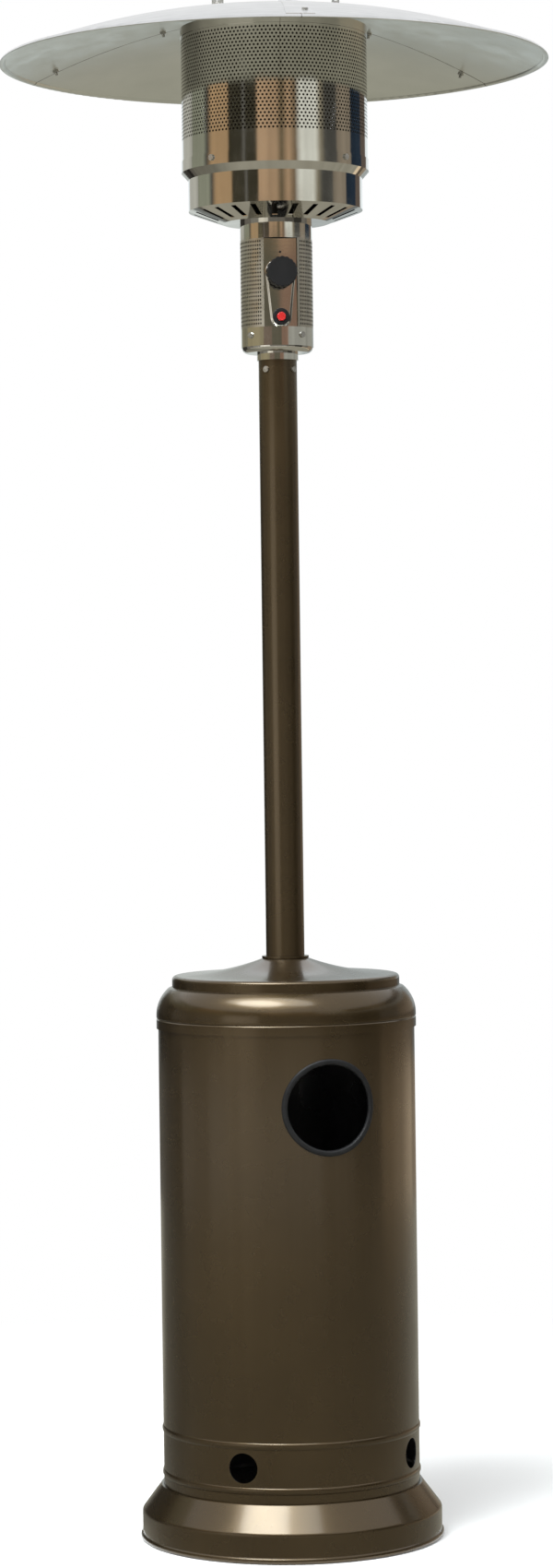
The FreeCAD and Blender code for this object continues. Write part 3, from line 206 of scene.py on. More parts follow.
def polished_steel():
    """Mirror-polished stainless steel, slightly wavy, with faint rolling marks and smudges."""
    steel = Shader("polished_steel", Metallic=1.0)
    tint = steel.ramp(steel.noise(9.0, 4.0), (0.3, (0.58, 0.565, 0.52)), (0.7, (0.66, 0.65, 0.61)))
    steel.feed("Base Color", tint)
    steel.feed("Roughness", steel.spread(steel.noise(22.0, 6.0, rough=0.65), 0.05, 0.13, 0.35, 0.75))
    waves = steel.noise(30.0, 2.0, stretch=(1.0, 1.0, 0.35))
    marks = steel.noise(60.0, 3.0, stretch=(1.0, 1.0, 14.0))
    steel.bump((waves, 0.00022, 0.5), (marks, 0.00004, 0.25))
    return steel.material


def satin_steel():
    """Stainless steel of the punched sleeve, satin from its handling."""
    steel = Shader("satin_steel", Metallic=1.0)
    tint = steel.ramp(steel.noise(12.0, 4.0), (0.3, (0.50, 0.475, 0.41)), (0.7, (0.59, 0.565, 0.50)))
    steel.feed("Base Color", tint)
    steel.feed("Roughness", steel.spread(steel.noise(50.0, 5.0), 0.24, 0.34))
    steel.bump((steel.noise(80.0, 3.0, stretch=(1.0, 1.0, 8.0)), 0.00005, 0.3))
    return steel.material


def hole_shade_steel():
    """Inside of a perforated sheet and the walls of its holes: dull near-black steel, a painted shade that
    makes the holes read dark; on the emitter screen also browned by heat.
    """
    steel = Shader("hole_shade_steel", Metallic=1.0)
    tint = steel.ramp(steel.noise(18.0, 5.0), (0.3, (0.030, 0.026, 0.021)), (0.7, (0.060, 0.052, 0.042)))
    steel.feed("Base Color", tint)
    steel.feed("Roughness", steel.spread(steel.noise(60.0, 4.0), 0.55, 0.70))
    steel.bump((steel.noise(300.0, 2.0), 0.00004, 0.4))
    return steel.material


def reflector_aluminium():
    """Bright-rolled aluminium in two tones set by which way the sheet faces, a painted difference in light
    that makes the underside lighter, with a painted shadow along the seams below.
    """
    sheet = Shader("reflector_aluminium", Metallic=1.0)
    # Painted light: one tone where the sheet faces up and a lighter one where it faces down, chosen for how
    # light falls on each side.
    split = sheet.add("ShaderNodeSeparateXYZ")
    sheet.link(sheet.normal, split.inputs["Vector"])
    above = sheet.spread(split.outputs["Z"], 0.0, 1.0, -0.05, 0.05)
    streaks = sheet.noise(14.0, 5.0, stretch=(1.0, 12.0, 1.0))
    upper = sheet.ramp(streaks, (0.3, (0.64, 0.655, 0.66)), (0.7, (0.74, 0.75, 0.76)))
    lower = sheet.ramp(sheet.noise(7.0, 5.0), (0.3, (0.72, 0.745, 0.71)), (0.7, (0.80, 0.825, 0.79)))
    # Painted shadow: a thin dark line along each lapped seam on the underside, frayed by noise.
    first_seam, seams = 6.4, 3.0
    sectors = sheet.maths("MULTIPLY_ADD", sheet.turn(), seams, -first_seam * seams / 360.0)
    aside = sheet.maths("ABSOLUTE", sheet.maths("SUBTRACT", sheet.maths("FRACT", sectors), 0.5))
    reach = sheet.add("ShaderNodeVectorMath", operation="LENGTH")
    sheet.link(sheet.stretched((1.0, 1.0, 0.0)), reach.inputs[0])
    away = sheet.maths("MULTIPLY", aside, sheet.maths("MULTIPLY", reach.outputs["Value"], math.tau / seams))
    fray, darkest, shadow_end = 0.0016, 0.0011, 0.0024
    frayed = sheet.maths("MULTIPLY_ADD", sheet.noise(60.0, 4.0), fray, away)
    seam_shadow = sheet.spread(frayed, 0.85, 0.0, darkest, shadow_end)
    lower = sheet.mix(seam_shadow, lower, (0.13, 0.085, 0.060))
    sheet.feed("Base Color", sheet.mix(above, lower, upper))
    sheet.feed("Roughness", sheet.spread(sheet.noise(30.0, 5.0), 0.28, 0.40))
    sheet.bump((sheet.noise(26.0, 3.0), 0.0002, 0.25))
    return sheet.material


def zinc_steel():
    """Zinc-plated hardware, slightly mottled."""
    zinc = Shader("zinc_steel", Metallic=1.0)
    tone = zinc.ramp(zinc.noise(260.0, 4.0), (0.3, (0.44, 0.44, 0.42)), (0.7, (0.62, 0.62, 0.60)))
    zinc.feed("Base Color", tone)
    zinc.feed("Roughness", zinc.spread(zinc.noise(400.0, 3.0), 0.22, 0.42))
    zinc.bump((zinc.noise(900.0, 2.0), 0.00003, 0.4))
    return zinc.material


def frame_paint():
    """Dark satin paint of the hidden frame."""
    paint = Shader("frame_paint", Metallic=0.0, Specular_IOR_Level=0.4)
    tone = paint.ramp(paint.noise(18.0, 5.0), (0.3, (0.026, 0.024, 0.022)), (0.7, (0.036, 0.034, 0.031)))
    worn = paint.spread(paint.edges(), 0.0, 0.5, 0.0, 1.0)
    paint.feed("Base Color", paint.mix(worn, tone, (0.11, 0.105, 0.10)))
    paint.feed("Roughness", paint.spread(paint.noise(70.0, 4.0), 0.38, 0.52))
    paint.bump((paint.noise(500.0, 2.0), 0.00005, 0.4))
    return paint.material


def black_plastic():
    """Moulded black plastic with a fine spark-eroded grain."""
    plastic = Shader("black_plastic", Metallic=0.0, Specular_IOR_Level=0.25)
    tone = plastic.ramp(plastic.noise(60.0, 4.0), (0.3, (0.006, 0.006, 0.0065)),
                        (0.7, (0.010, 0.010, 0.0105)))
    plastic.feed("Base Color", tone)
    plastic.feed("Roughness", plastic.spread(plastic.noise(300.0, 3.0), 0.40, 0.55))
    plastic.bump((plastic.noise(1400.0, 2.0), 0.00004, 0.5))
    return plastic.material


def red_plastic():
    """Glossy red button."""
    plastic = Shader("red_plastic", Metallic=0.0, Coat_Weight=0.3, Coat_Roughness=0.08)
    tone = plastic.ramp(plastic.noise(160.0, 3.0), (0.3, (0.38, 0.012, 0.012)), (0.7, (0.48, 0.019, 0.017)))
    plastic.feed("Base Color", tone)
    plastic.feed("Roughness", plastic.spread(plastic.noise(220.0, 3.0), 0.20, 0.32))
    plastic.bump((plastic.noise(900.0, 2.0), 0.00003, 0.3))
    return plastic.material


def brass():
    """Machined brass, dulled where it has been handled."""
    metal = Shader("brass", Metallic=1.0)
    tone = metal.ramp(metal.noise(110.0, 5.0), (0.3, (0.52, 0.36, 0.13)), (0.7, (0.70, 0.52, 0.22)))
    metal.feed("Base Color", tone)
    metal.feed("Roughness", metal.spread(metal.noise(180.0, 4.0), 0.20, 0.38))
    metal.bump((metal.noise(240.0, 2.0, stretch=(1.0, 1.0, 9.0)), 0.00004, 0.3))
    return metal.material


def burner_steel():
    """Heat-resistant steel, blued and browned by the flame."""
    metal = Shader("burner_steel", Metallic=1.0)
    tone = metal.ramp(metal.noise(24.0, 5.0), (0.25, (0.20, 0.19, 0.20)), (0.5, (0.34, 0.31, 0.27)),
                      (0.75, (0.36, 0.27, 0.18)))
    metal.feed("Base Color", tone)
    metal.feed("Roughness", metal.spread(metal.noise(90.0, 5.0), 0.30, 0.50))
    metal.bump((metal.noise(300.0, 3.0), 0.00006, 0.4))
    return metal.material


def ceramic():
    """Glazed white ceramic."""
    glaze = Shader("ceramic", Metallic=0.0, Coat_Weight=0.4, Coat_Roughness=0.1)
    tone = glaze.ramp(glaze.noise(90.0, 4.0), (0.3, (0.74, 0.72, 0.66)), (0.7, (0.82, 0.80, 0.75)))
    glaze.feed("Base Color", tone)
    glaze.feed("Roughness", glaze.spread(glaze.noise(150.0, 3.0), 0.25, 0.40))
    glaze.bump((glaze.noise(500.0, 2.0), 0.00003, 0.3))
    return glaze.material


FINISHES = {make.__name__: make() for make in (
    bronze_paint, polished_steel, satin_steel, hole_shade_steel, reflector_aluminium, zinc_steel, frame_paint,
    black_plastic, red_plastic, brass, burner_steel, ceramic)}


def finish(piece, *names):
    """Gives a piece its finish, or one for each of its zones."""
    slots = piece.data.materials
    if slots:
        slots.clear()
    for name in names:
        slots.append(FINISHES[name])


for label, solid in NODES.items():
    finish(solid, SLOT_OF[label])


# Pieces built in place of solids.

def add_piece(name, vertices, faces, sharp=35.0):
    """Adds a smooth-shaded mesh object with its sharp edges marked."""
    mesh = bpy.data.meshes.new(name)
    mesh.from_pydata(vertices, [], faces)
    mesh.polygons.foreach_set("use_smooth", [True] * len(mesh.polygons))
    mesh.set_sharp_from_angle(angle=math.radians(sharp))
    piece = bpy.data.objects.new(name, mesh)
    bpy.context.scene.collection.objects.link(piece)
    return piece


class Sheet:
    """Thin closed sheet, drawn as faces between pairs of points on its outside and its inside."""

    def __init__(self):
        self.known, self.outside, self.inside, self.faces, self.zones = {}, [], [], [], []

    def point(self, outside, inside, key=None):
        """Number of a pair of points, shared by all that give the same key."""
        if key in self.known:
            return self.known[key]
        self.outside.append(outside)
        self.inside.append(inside)
        if key is not None:
            self.known[key] = len(self.outside) - 1
        return len(self.outside) - 1

    def add(self, face, zone=0):
        """Adds a face of the outside, in one of the sheet's zones of finish."""
        self.faces.append(tuple(face))
        self.zones.append(zone)

    def build(self, name, inner_zone):
        """Closes the sheet with its inside and with a rim along every free edge."""
        count = len(self.outside)
        sides = {(face[i - 1], face[i]) for face in self.faces for i in range(len(face))}
        faces = list(self.faces)
        faces += [tuple(index + count for index in reversed(face)) for face in self.faces]
        rims = [(a, b) for a, b in sorted(sides) if (b, a) not in sides]
        faces += [(b, a, a + count, b + count) for a, b in rims]
        piece = add_piece(name, self.outside + self.inside, faces, sharp=20.0)
        shared = set(self.known.values())
        zones = self.zones + [inner_zone] * len(self.faces)
        zones += [0 if a in shared else inner_zone for a, _ in rims]
        piece.data.polygons.foreach_set("material_index", zones)
        return piece


class Tube(Sheet):
    """Upright tube of thin sheet with punched holes."""

    def __init__(self, radius, gauge):
        super().__init__()
        self.radius, self.gauge = radius, gauge

    def spot(self, azimuth, height, key=None):
        """Number of a point of the tube."""
        inside = outward(azimuth, self.radius - self.gauge, height)
        return self.point(outward(azimuth, self.radius, height), inside, key)

    def hole(self, azimuth, height, radius, sides, tall=1.0, taper=0.35):
        """Points round a hole that narrows inward, counter-clockwise from the right seen from outside."""
        points = []
        for index in range(sides):
            turn = math.tau * (index + 0.5) / sides
            across, up = math.degrees(radius * math.cos(turn) / self.radius), tall * radius * math.sin(turn)
            outside = outward(azimuth + across, self.radius, height + up)
            inside = outward(azimuth + across * taper, self.radius - self.gauge, height + up * taper)
            points.append(self.point(outside, inside))
        return points


def perforated_screen():
    """Emitter screen: staggered six-sided holes between a plain lower band and the cap."""
    radius, gauge = 0.1375, 0.0008
    bottom, top, first = 2.024, 2.235, 2.0685
    columns, rows, hole = 144, 29, 0.0018
    step = 180.0 / columns
    unit = radius * math.radians(step) / math.sqrt(3.0)
    tube = Tube(radius, gauge)

    def corner(across, up):
        """Number of a corner of the honeycomb, counted in half columns and in units."""
        across %= 2 * columns
        return tube.spot(across * step, first + up * unit, (across, up))

    ring = ((1, 1), (0, 2), (-1, 1), (-1, -1), (0, -2), (1, -1))
    for row in range(rows):
        for column in range(columns):
            across, up = 2 * column + row % 2, 3 * row + 2
            outer = [corner(across + x, up + z) for x, z in ring]
            inner = tube.hole(across * step, first + up * unit, hole, 6)
            for i in range(6):
                tube.add((outer[i - 1], outer[i], inner[i], inner[i - 1]))
    last = 3 * rows + 1
    odd = rows % 2
    for across in range(2 * columns):
        pair = (across, across + 1)
        low = [corner(x, x % 2) for x in pair]
        high = [corner(x, last - 1 + (x % 2 == 1 - odd)) for x in pair]
        base = [tube.spot(x * step, bottom, ("base", x % (2 * columns))) for x in pair]
        head = [tube.spot(x * step, top, ("head", x % (2 * columns))) for x in pair]
        tube.add((base[0], base[1], low[1], low[0]))
        tube.add((high[0], high[1], head[1], head[0]))
    return tube.build("emitter_screen_perforated", 1)


def perforated_sleeve():
    """Control sleeve: fine upright holes all over, but for the bands and the panel's window."""
    radius, gauge = 0.0535, 0.001
    base, top = 1.764, 1.948
    window_low, window_high, half_window = 1.7915, 1.922, 0.025
    edge = math.degrees(math.asin(half_window / radius))
    columns, rows, margin, hole = 76, 22, 4.0, 0.00115
    across_window = 12
    tube = Tube(radius, gauge)
    start = edge + margin
    pitch = (360.0 - 2.0 * start) / columns
    turns = [edge] + [start + pitch * i for i in range(columns + 1)] + [360.0 - edge]
    turns += [360.0 - edge + 2.0 * edge * i / across_window for i in range(1, across_window)]
    border = 0.0018
    rise = (window_high - window_low - 2.0 * border) / rows
    heights = [base, window_low]
    heights += [window_low + border + rise * i for i in range(rows + 1)]
    heights += [window_high, top]
    for column, turn in enumerate(turns):
        following = turns[column + 1] if column + 1 < len(turns) else edge + 360.0
        for row in range(len(heights) - 1):
            inside = 1 <= row <= rows + 2
            if column > columns + 1 and inside:
                continue
            wrapped = (column + 1) % len(turns)
            spots = ((column, row, turn), (wrapped, row, following), (wrapped, row + 1, following),
                     (column, row + 1, turn))
            cell = [tube.spot(PANEL_AZIMUTH + at, heights[level], (number, level))
                    for number, level, at in spots]
            zone = 2 if inside else 0
            if not (1 <= column <= columns and 2 <= row <= rows + 1):
                tube.add(cell, zone)
                continue
            middle = PANEL_AZIMUTH + (turn + following) / 2.0
            ring = tube.hole(middle, (heights[row] + heights[row + 1]) / 2.0, hole, 8, tall=1.5)
            lower_left, lower_right, upper_right, upper_left = cell
            around = ((lower_right, 6, 7), (upper_right, 0, 1), (upper_left, 2, 3), (lower_left, 4, 5))
            for i, (point, first, second) in enumerate(around):
                following_point, following_first, _ = around[(i + 1) % 4]
                tube.add((point, ring[second], ring[first]), zone)
                tube.add((point, following_point, ring[following_first], ring[second]), zone)
    return tube.build("control_sleeve_perforated", 1)


def on_panel(across, up, out=0.0):
    """Point on the flat control panel, from the middle of its face."""
    middle = 1.85675
    turn = math.radians(PANEL_AZIMUTH)
    right = Vector((math.cos(turn), math.sin(turn), 0.0))
    return outward(PANEL_AZIMUTH, PANEL_FACE + out, middle + up) + right * across


def pressed_panel():
    """Control panel: a crowned plate with a soft teardrop round its controls, and flanges to the sleeve."""
    width, length, gauge, crown, rise, soft = 0.053, 0.1335, 0.001, 0.0009, 0.002, 0.004
    knob, igniter, knob_round, igniter_round = 0.01325, -0.05075, 0.0205, 0.014
    spindle_hole, bezel_hole = 0.006, 0.0098
    sleeve = 0.0523
    columns, rows = 70, 178
    span = knob - igniter
    lean = (knob_round - igniter_round) / span
    level = math.sqrt(1.0 - lean ** 2)

    def beyond_teardrop(x, y):
        """How far a point lies outside the teardrop."""
        x, down = abs(x), knob - y
        along = level * down - lean * x
        if along < 0.0:
            return math.hypot(x, down) - knob_round
        if along > level * span:
            return math.hypot(x, down - span) - igniter_round
        return level * x + lean * down - knob_round

    def to_sleeve(x):
        """How far the sleeve's inside stands out from the panel's face."""
        return math.sqrt(sleeve ** 2 - x ** 2) - PANEL_FACE

    def spot(i, j):
        """Number of a grid point of the plate, or of a flange beyond its edge."""
        side, end = (i > columns) - (i < 0), (j > rows) - (j < 0)
        x, y = width * ((i - side) / columns - 0.5), length * ((j - end) / rows - 0.5)
        if side or end:
            behind = x + side * gauge
            inner = on_panel(behind, y + end * gauge, to_sleeve(behind))
            return plate.point(on_panel(x, y, to_sleeve(x)), inner, (i, j))
        share = min(1.0, max(0.0, 0.5 - beyond_teardrop(x, y) / soft))
        out = rise * share ** 2 * (3.0 - 2.0 * share) - crown * (2.0 * x / width) ** 2
        return plate.point(on_panel(x, y, out), on_panel(x, y, out - gauge), (i, j))

    plate = Sheet()
    for i in range(-1, columns + 1):
        for j in range(-1, rows + 1):
            x, y = width * ((i + 0.5) / columns - 0.5), length * ((j + 0.5) / rows - 0.5)
            corner = i in (-1, columns) and j in (-1, rows)
            bored = math.hypot(x, y - knob) <= spindle_hole or math.hypot(x, y - igniter) <= bezel_hole
            if not corner and not bored:
                plate.add((spot(i, j), spot(i + 1, j), spot(i + 1, j + 1), spot(i, j + 1)))
    return plate.build("control_panel_pressed", 0)


def index_mark():
    """Small domed mark on the panel above the knob."""
    up, radius, tip, rise, sides, rings = 0.0445, 0.0017, 0.0002, 0.0006, 20, 4
    vertices, faces = [], []
    for ring in range(rings + 1):
        lean = 0.5 * math.pi * ring / rings
        for side in range(sides):
            turn = math.tau * side / sides
            reach = radius * math.cos(lean) if ring < rings else tip
            across, above = reach * math.cos(turn), up + reach * math.sin(turn)
            vertices.append(on_panel(across, above, rise * math.sin(lean)))
    for ring in range(rings):
        for side in range(sides):
            low, high = ring * sides, (ring + 1) * sides
            following = (side + 1) % sides
            faces.append((low + side, low + following, high + following, high + side))
    faces.append(tuple(rings * sides + side for side in range(sides)))
    faces.append(tuple(reversed(range(sides))))
    return add_piece("index_mark", vertices, faces)


def rounded_trim():
    """Trim of the access opening: a channel with a rounded face that follows the shell's curve."""
    azimuth, middle, shell, steps, millimetres = 20.0, 0.652, 0.1905, 144, 1000.0
    # Reach from the opening's middle and rise over the shell, in millimetres.
    section = (
        (70.5, 0.05), (70.45, 0.9), (70.1, 1.7), (69.5, 2.35), (68.6, 2.8), (67.4, 3.0), (66.0, 3.0),
        (64.6, 2.75), (63.5, 2.2), (62.7, 1.4), (62.2, 0.4), (62.0, -0.8), (62.0, -3.0), (62.3, -3.7),
        (63.0, -4.1), (64.0, -4.2), (69.0, -4.2), (70.1, -3.9), (70.5, -3.1), (70.5, -1.4), (66.1, -1.4),
        (66.1, 0.05))
    vertices, faces = [], []
    for step in range(steps):
        turn = math.tau * step / steps
        for reach, rise in section:
            radius = shell + rise / millimetres
            aside = math.degrees(math.asin(reach * math.cos(turn) / millimetres / radius))
            vertices.append(outward(azimuth + aside, radius, middle + reach * math.sin(turn) / millimetres))
    count = len(section)
    for step in range(steps):
        here, there = step * count, (step + 1) % steps * count
        for i in range(count):
            following = (i + 1) % count
            faces.append((here + i, there + i, there + following, here + following))
    return add_piece("opening_trim_rounded", vertices, faces)


def dress(piece, body, slot, finishes, *replaced):
    """Puts a piece on its body, in its finishes, in place of the nodes that it stands for."""
    finish(piece, *finishes)
    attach(piece, body)
    if replaced:
        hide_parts(*replaced)


# The insides and hole walls of the punched sheets get near-black steel, a painted shade that makes the
# holes read dark.
STEEL = "polished_steel"
dress(perforated_screen(), "heater", STEEL, (STEEL, "hole_shade_steel"), "emitter_screen")
dress(perforated_sleeve(), "heater", STEEL, (STEEL, "hole_shade_steel", "satin_steel"), "control_housing")
dress(pressed_panel(), "heater", STEEL, (STEEL,), "control_panel")
dress(index_mark(), "heater", "black_plastic", ("black_plastic",))
dress(rounded_trim(), "tank_housing", "black_plastic", ("black_plastic",), "opening_trim")


# Stage, light and camera.

def switch_on_sight(tree, seen, unseen, output):
    """Shows one shader to the camera and in reflections, and another to everything else."""
    path = tree.nodes.new("ShaderNodeLightPath")
    total = path.outputs["Is Camera Ray"]
    for name in ("Is Glossy Ray", "Is Transmission Ray"):
        either = tree.nodes.new("ShaderNodeMath")
        either.operation = "MAXIMUM"
        tree.links.new(total, either.inputs[0])
        tree.links.new(path.outputs[name], either.inputs[1])
        total = either.outputs["Value"]
    mix = tree.nodes.new("ShaderNodeMixShader")
    tree.links.new(total, mix.inputs["Fac"])
    tree.links.new(unseen, mix.inputs[1])
    tree.links.new(seen, mix.inputs[2])
    tree.links.new(mix.outputs["Shader"], output)


def add_world():
    """Soft light from all round, behind a white background."""
    world = bpy.data.worlds.new("studio")
    bpy.context.scene.world = world
    world.use_nodes = True
    tree = world.node_tree
    ambient = tree.nodes["Background"]
    ambient.inputs["Color"].default_value = (0.97, 0.985, 1.0, 1.0)
    ambient.inputs["Strength"].default_value = 0.45
    white = tree.nodes.new("ShaderNodeBackground")
    white.inputs["Color"].default_value = (1.0, 1.0, 1.0, 1.0)
    white.inputs["Strength"].default_value = 1.0
    switch_on_sight(tree, white.outputs["Background"], ambient.outputs["Background"],
                    tree.nodes["World Output"].inputs["Surface"])


def add_floor():
    """Pale floor that fades into the background and keeps the shadow."""
    reach, drop, fade_start, fade_end = 60.0, 0.0005, 0.7, 2.2
    corners = [(-reach, -reach, 0), (reach, -reach, 0), (reach, reach, 0), (-reach, reach, 0)]
    floor = add_piece("floor", corners, [(0, 1, 2, 3)])
    floor.location.z = -drop
    pale = Shader("pale_floor", Roughness=0.9, Specular_IOR_Level=0.1)
    tint = pale.ramp(pale.noise(1.5, 3.0), (0.3, (0.80, 0.80, 0.795)), (0.7, (0.83, 0.83, 0.825)))
    pale.feed("Base Color", tint)
    glow = pale.add("ShaderNodeEmission")
    glow.inputs["Color"].default_value = (1.0, 1.0, 1.0, 1.0)
    glow.inputs["Strength"].default_value = 0.1
    both = pale.add("ShaderNodeAddShader")
    pale.link(pale.shader.outputs["BSDF"], both.inputs[0])
    pale.link(glow.outputs["Emission"], both.inputs[1])
    white = pale.add("ShaderNodeEmission")
    far = pale.add("ShaderNodeVectorMath", operation="LENGTH")
    pale.link(pale.coordinates, far.inputs[0])
    fade = pale.add("ShaderNodeMixShader")
    pale.link(pale.spread(far.outputs["Value"], 0.0, 1.0, fade_start, fade_end), fade.inputs["Fac"])
    pale.link(both.outputs["Shader"], fade.inputs[1])
    pale.link(white.outputs["Emission"], fade.inputs[2])
    switch_on_sight(pale.tree, fade.outputs["Shader"], pale.shader.outputs["BSDF"],
                    pale.tree.nodes["Material Output"].inputs["Surface"])
    floor.data.materials.append(pale.material)


def glowing(name):
    """Shader that only glows, in the colour that is fed to it."""
    return Shader(name, Base_Color=(0.0, 0.0, 0.0, 1.0), Specular_IOR_Level=0.0, Emission_Strength=1.0)


def add_band(name, paint, first, second, sides):
    """Band between two circles, each a radius and a height, that only polished surfaces see."""
    turns = [360.0 * i / sides for i in range(sides)]
    vertices = [outward(turn, *circle) for turn in turns for circle in (first, second)]
    count = len(vertices)
    faces = [(2 * i, 2 * i + 1, (2 * i + 3) % count, (2 * i + 2) % count) for i in range(sides)]
    band = add_piece(name, vertices, faces)
    band.data.materials.append(paint.material)
    for ray in ("camera", "diffuse", "transmission", "volume_scatter", "shadow"):
        setattr(band, f"visible_{ray}", False)


def add_wall(name, low, high, stripes, gain=1.0):
    """Round wall with soft stripes, each from its azimuth to the next one's."""
    paint = glowing(name)
    wander = paint.maths("MULTIPLY_ADD", paint.noise(1.6, 4.0), WANDER, paint.turn())
    stops = []
    ends = [start for start, _ in stripes[1:]] + [180.0]
    for (start, colour), end in zip(stripes, ends):
        places = [(start + end) / 2.0] if end - start < NARROW else [start + SOFT, end - SOFT]
        stops += [(place / 360.0 + 0.5 + WANDER / 2.0, colour) for place in places]
    dark, light = (DARKER * gain,) * 3, (LIGHTER * gain,) * 3
    clouds = paint.ramp(paint.noise(1.1, 5.0), (0.3, dark), (0.7, light))
    paint.feed("Emission Color", paint.mix(1.0, paint.ramp(wander, *stops), clouds, "MULTIPLY"))
    add_band(name, paint, (WALL, low), (WALL, high), sides=72)


def add_ground():
    """Paved ground round the heater, in shade to the left behind it."""
    inner, height = 0.235, 0.002
    shades = ((-180, 1.05), (-158, 1.05), (-142, 0.5), (-108, 0.6), (-90, 0.95), (-70, 1.05), (110, 1.0),
              (150, 0.95), (180, 1.05))
    paint = glowing("ground")
    tint = paint.ramp(paint.noise(2.2, 5.0), (0.3, (0.33, 0.312, 0.252)), (0.7, (0.43, 0.412, 0.340)))
    shade = paint.ramp(paint.turn(), *((place / 360.0 + 0.5, (share,) * 3) for place, share in shades))
    paint.feed("Emission Color", paint.mix(1.0, tint, shade, "MULTIPLY"))
    add_band("ground", paint, (inner, height), (WALL, height), sides=48)


# Surroundings that polished surfaces show: the walls' radius in metres, how soft and how narrow a stripe
# is in degrees, how far its edges wander in turns, and how cloudy it is.
WALL = 4.2
SOFT, NARROW, WANDER = 1.2, 13.0, 0.008
DARKER, LIGHTER = 0.82, 1.15

# Stripes of each wall, from an azimuth on.
HORIZON, UMBER, MIST = (0.93, 0.99, 1.02), (0.15, 0.117, 0.097), (0.54, 0.54, 0.49)
HAZE, SLATE, TAN = (0.33, 0.345, 0.27), (0.094, 0.092, 0.083), (0.505, 0.337, 0.188)
DARK, GLEAM, PALE_TAN = (0.052, 0.047, 0.031), (0.17, 0.165, 0.15), (0.586, 0.397, 0.245)
OLIVE, RUST, SKY = (0.14, 0.11, 0.065), (0.24, 0.175, 0.11), (0.82, 0.83, 0.76)
MOSS, SAND, BLUE = (0.30, 0.265, 0.19), (0.31, 0.26, 0.20), (0.022, 0.036, 0.058)
HEAD_STRIPES = (
    (-180, HORIZON), (-156, MIST), (-122, HAZE), (-96, SLATE), (-85, TAN), (-58, DARK), (-39, GLEAM),
    (-36, DARK), (-21, PALE_TAN), (3, OLIVE), (15, PALE_TAN), (20, RUST), (31, SKY), (52, MOSS),
    (64, SLATE), (82, SAND), (107, BLUE), (132, UMBER), (150, HORIZON))
STONE, BARK, FERN = (0.25, 0.233, 0.167), (0.20, 0.15, 0.115), (0.14, 0.13, 0.094)
STRAW, CLAY, PEBBLE = (0.37, 0.32, 0.20), (0.31, 0.195, 0.14), (0.42, 0.42, 0.38)
CLOUD, PALE = (0.64, 0.68, 0.66), (0.46, 0.50, 0.50)
SLEEVE_STRIPES = (
    (-180, CLOUD), (-152, STONE), (-108, STRAW), (-44, BARK), (-16, FERN), (15, CLAY), (36, PEBBLE),
    (152, PALE))
EARTH, HEDGE, GLOW = (0.23, 0.215, 0.19), (0.33, 0.315, 0.28), (0.34, 0.27, 0.195)
SOOT, GAP, THICKET = (0.05, 0.047, 0.041), (1.02, 0.975, 0.87), (0.15, 0.14, 0.122)
POLE_STRIPES = (
    (-180, CLOUD), (-158, SOOT), (-118, EARTH), (-86, HEDGE), (-56, GAP), (-24, EARTH), (30, THICKET),
    (60, SOOT), (90, EARTH), (118, GLOW), (156, PALE))
GREY, DIM = (0.66, 0.61, 0.53), (0.36, 0.33, 0.28)
LIGHT, WARM, SHADE = (1.15, 1.09, 0.97), (1.0, 0.80, 0.56), (0.14, 0.13, 0.11)
HOUSING_STRIPES = (
    (-180, SHADE), (-106, GREY), (-72, LIGHT), (-5, LIGHT), (30, GREY), (62, DIM), (92, WARM), (148, GLOW))


def add_lamp(name, where, towards, size, power, mirrored=True, tint=(1.0, 1.0, 1.0), shape="RECTANGLE"):
    """Soft box that faces a point; polished surfaces may show it or not, and the reflector never does."""
    lamp = bpy.data.lights.new(name, "AREA")
    lamp.shape = shape
    lamp.size, lamp.size_y = size
    lamp.energy = power
    lamp.color = tint
    box = bpy.data.objects.new(name, lamp)
    box.location = where
    box.rotation_euler = (Vector(towards) - Vector(where)).to_track_quat("-Z", "Y").to_euler()
    box.visible_glossy = mirrored
    if mirrored:
        box.light_linking.receiver_collection = UNLIT
    bpy.context.scene.collection.objects.link(box)


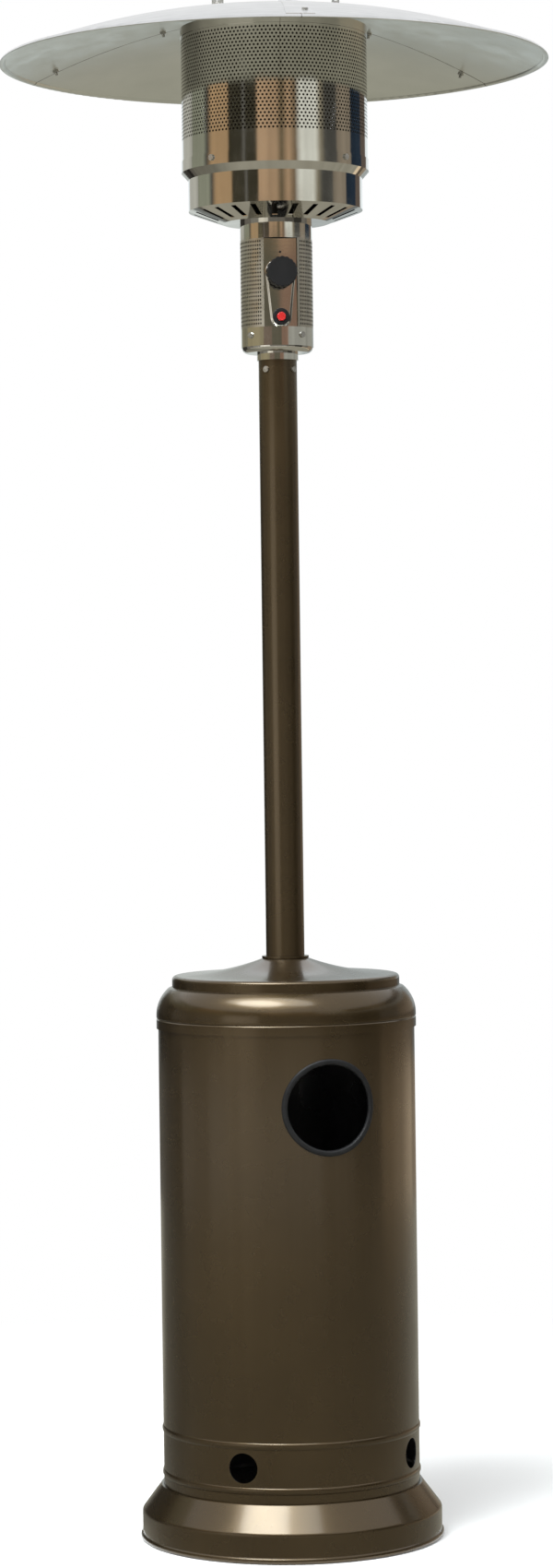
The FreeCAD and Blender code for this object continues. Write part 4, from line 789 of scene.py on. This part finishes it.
def add_camera():
    """Camera at the picture's place, with its lean."""
    data = bpy.data.cameras.new("camera")
    data.sensor_fit = "VERTICAL"
    data.sensor_height = SENSOR
    data.lens = FOCAL * SENSOR / HEIGHT
    data.clip_end = 200.0
    forward = Vector((math.sin(YAW) * math.cos(PITCH), math.cos(YAW) * math.cos(PITCH), math.sin(PITCH)))
    level = Vector((math.cos(YAW), -math.sin(YAW), 0.0))
    upright = level.cross(forward)
    right = level * math.cos(ROLL) + upright * math.sin(ROLL)
    up = upright * math.cos(ROLL) - level * math.sin(ROLL)
    camera = bpy.data.objects.new("camera", data)
    camera.matrix_world = Matrix.Translation(EYE) @ Matrix((right, up, -forward)).transposed().to_4x4()
    bpy.context.scene.collection.objects.link(camera)
    bpy.context.scene.camera = camera


SKYLIGHT = (0.92, 0.98, 1.0)
OVERHEAD = (("inner", (0.9, 1.3), 33.0), ("middle", (1.6, 1.4), 62.0), ("outer", (2.4, 1.5), 95.0))

# The lamps that polished surfaces show leave the reflector out, whose pale upper side would clip to white.
UNLIT = bpy.data.collections.new("not_lit_from_above")
for label in ("reflector_panel_right", "reflector_panel_rear", "reflector_panel_left"):
    UNLIT.objects.link(NODES[label])
for member in UNLIT.collection_objects:
    member.light_linking.link_state = "EXCLUDE"

add_world()
add_floor()
add_wall("wall_of_head", 2.4, 3.0, HEAD_STRIPES)
add_wall("wall_of_sleeve", 2.0, 2.4, SLEEVE_STRIPES)
add_wall("wall_of_pole_top", 1.45, 2.0, POLE_STRIPES, gain=0.9)
add_wall("wall_of_pole", 0.7, 1.45, POLE_STRIPES, gain=1.1)
add_wall("wall_of_lid", 0.36, 0.7, POLE_STRIPES, gain=0.4)
add_wall("wall_of_housing", 0.0, 0.36, HOUSING_STRIPES)
add_ground()
add_lamp("key", (-2.4, -3.4, 3.8), (0.0, 0.0, 1.2), (2.2, 2.2), 110.0, mirrored=False)
add_lamp("fill", (3.2, -2.6, 2.4), (0.0, 0.0, 1.2), (1.8, 2.6), 45.0, mirrored=False)
for label, size, power in OVERHEAD:
    add_lamp(f"overhead_{label}", (-1.2, -1.95, 4.0), (-0.05, -0.2, 0.05), size, power, tint=SKYLIGHT,
             shape="ELLIPSE")
add_lamp("canopy", (-0.6, -1.7, 4.2), (0.0, -0.2, 0.05), (4.6, 1.8), 90.0, tint=SKYLIGHT, shape="ELLIPSE")
add_lamp("back", (1.5, 3.4, 3.4), (0.0, 0.0, 1.4), (2.4, 2.0), 60.0, mirrored=False)
add_camera()
bpy.context.scene.view_settings.view_transform = "Standard"
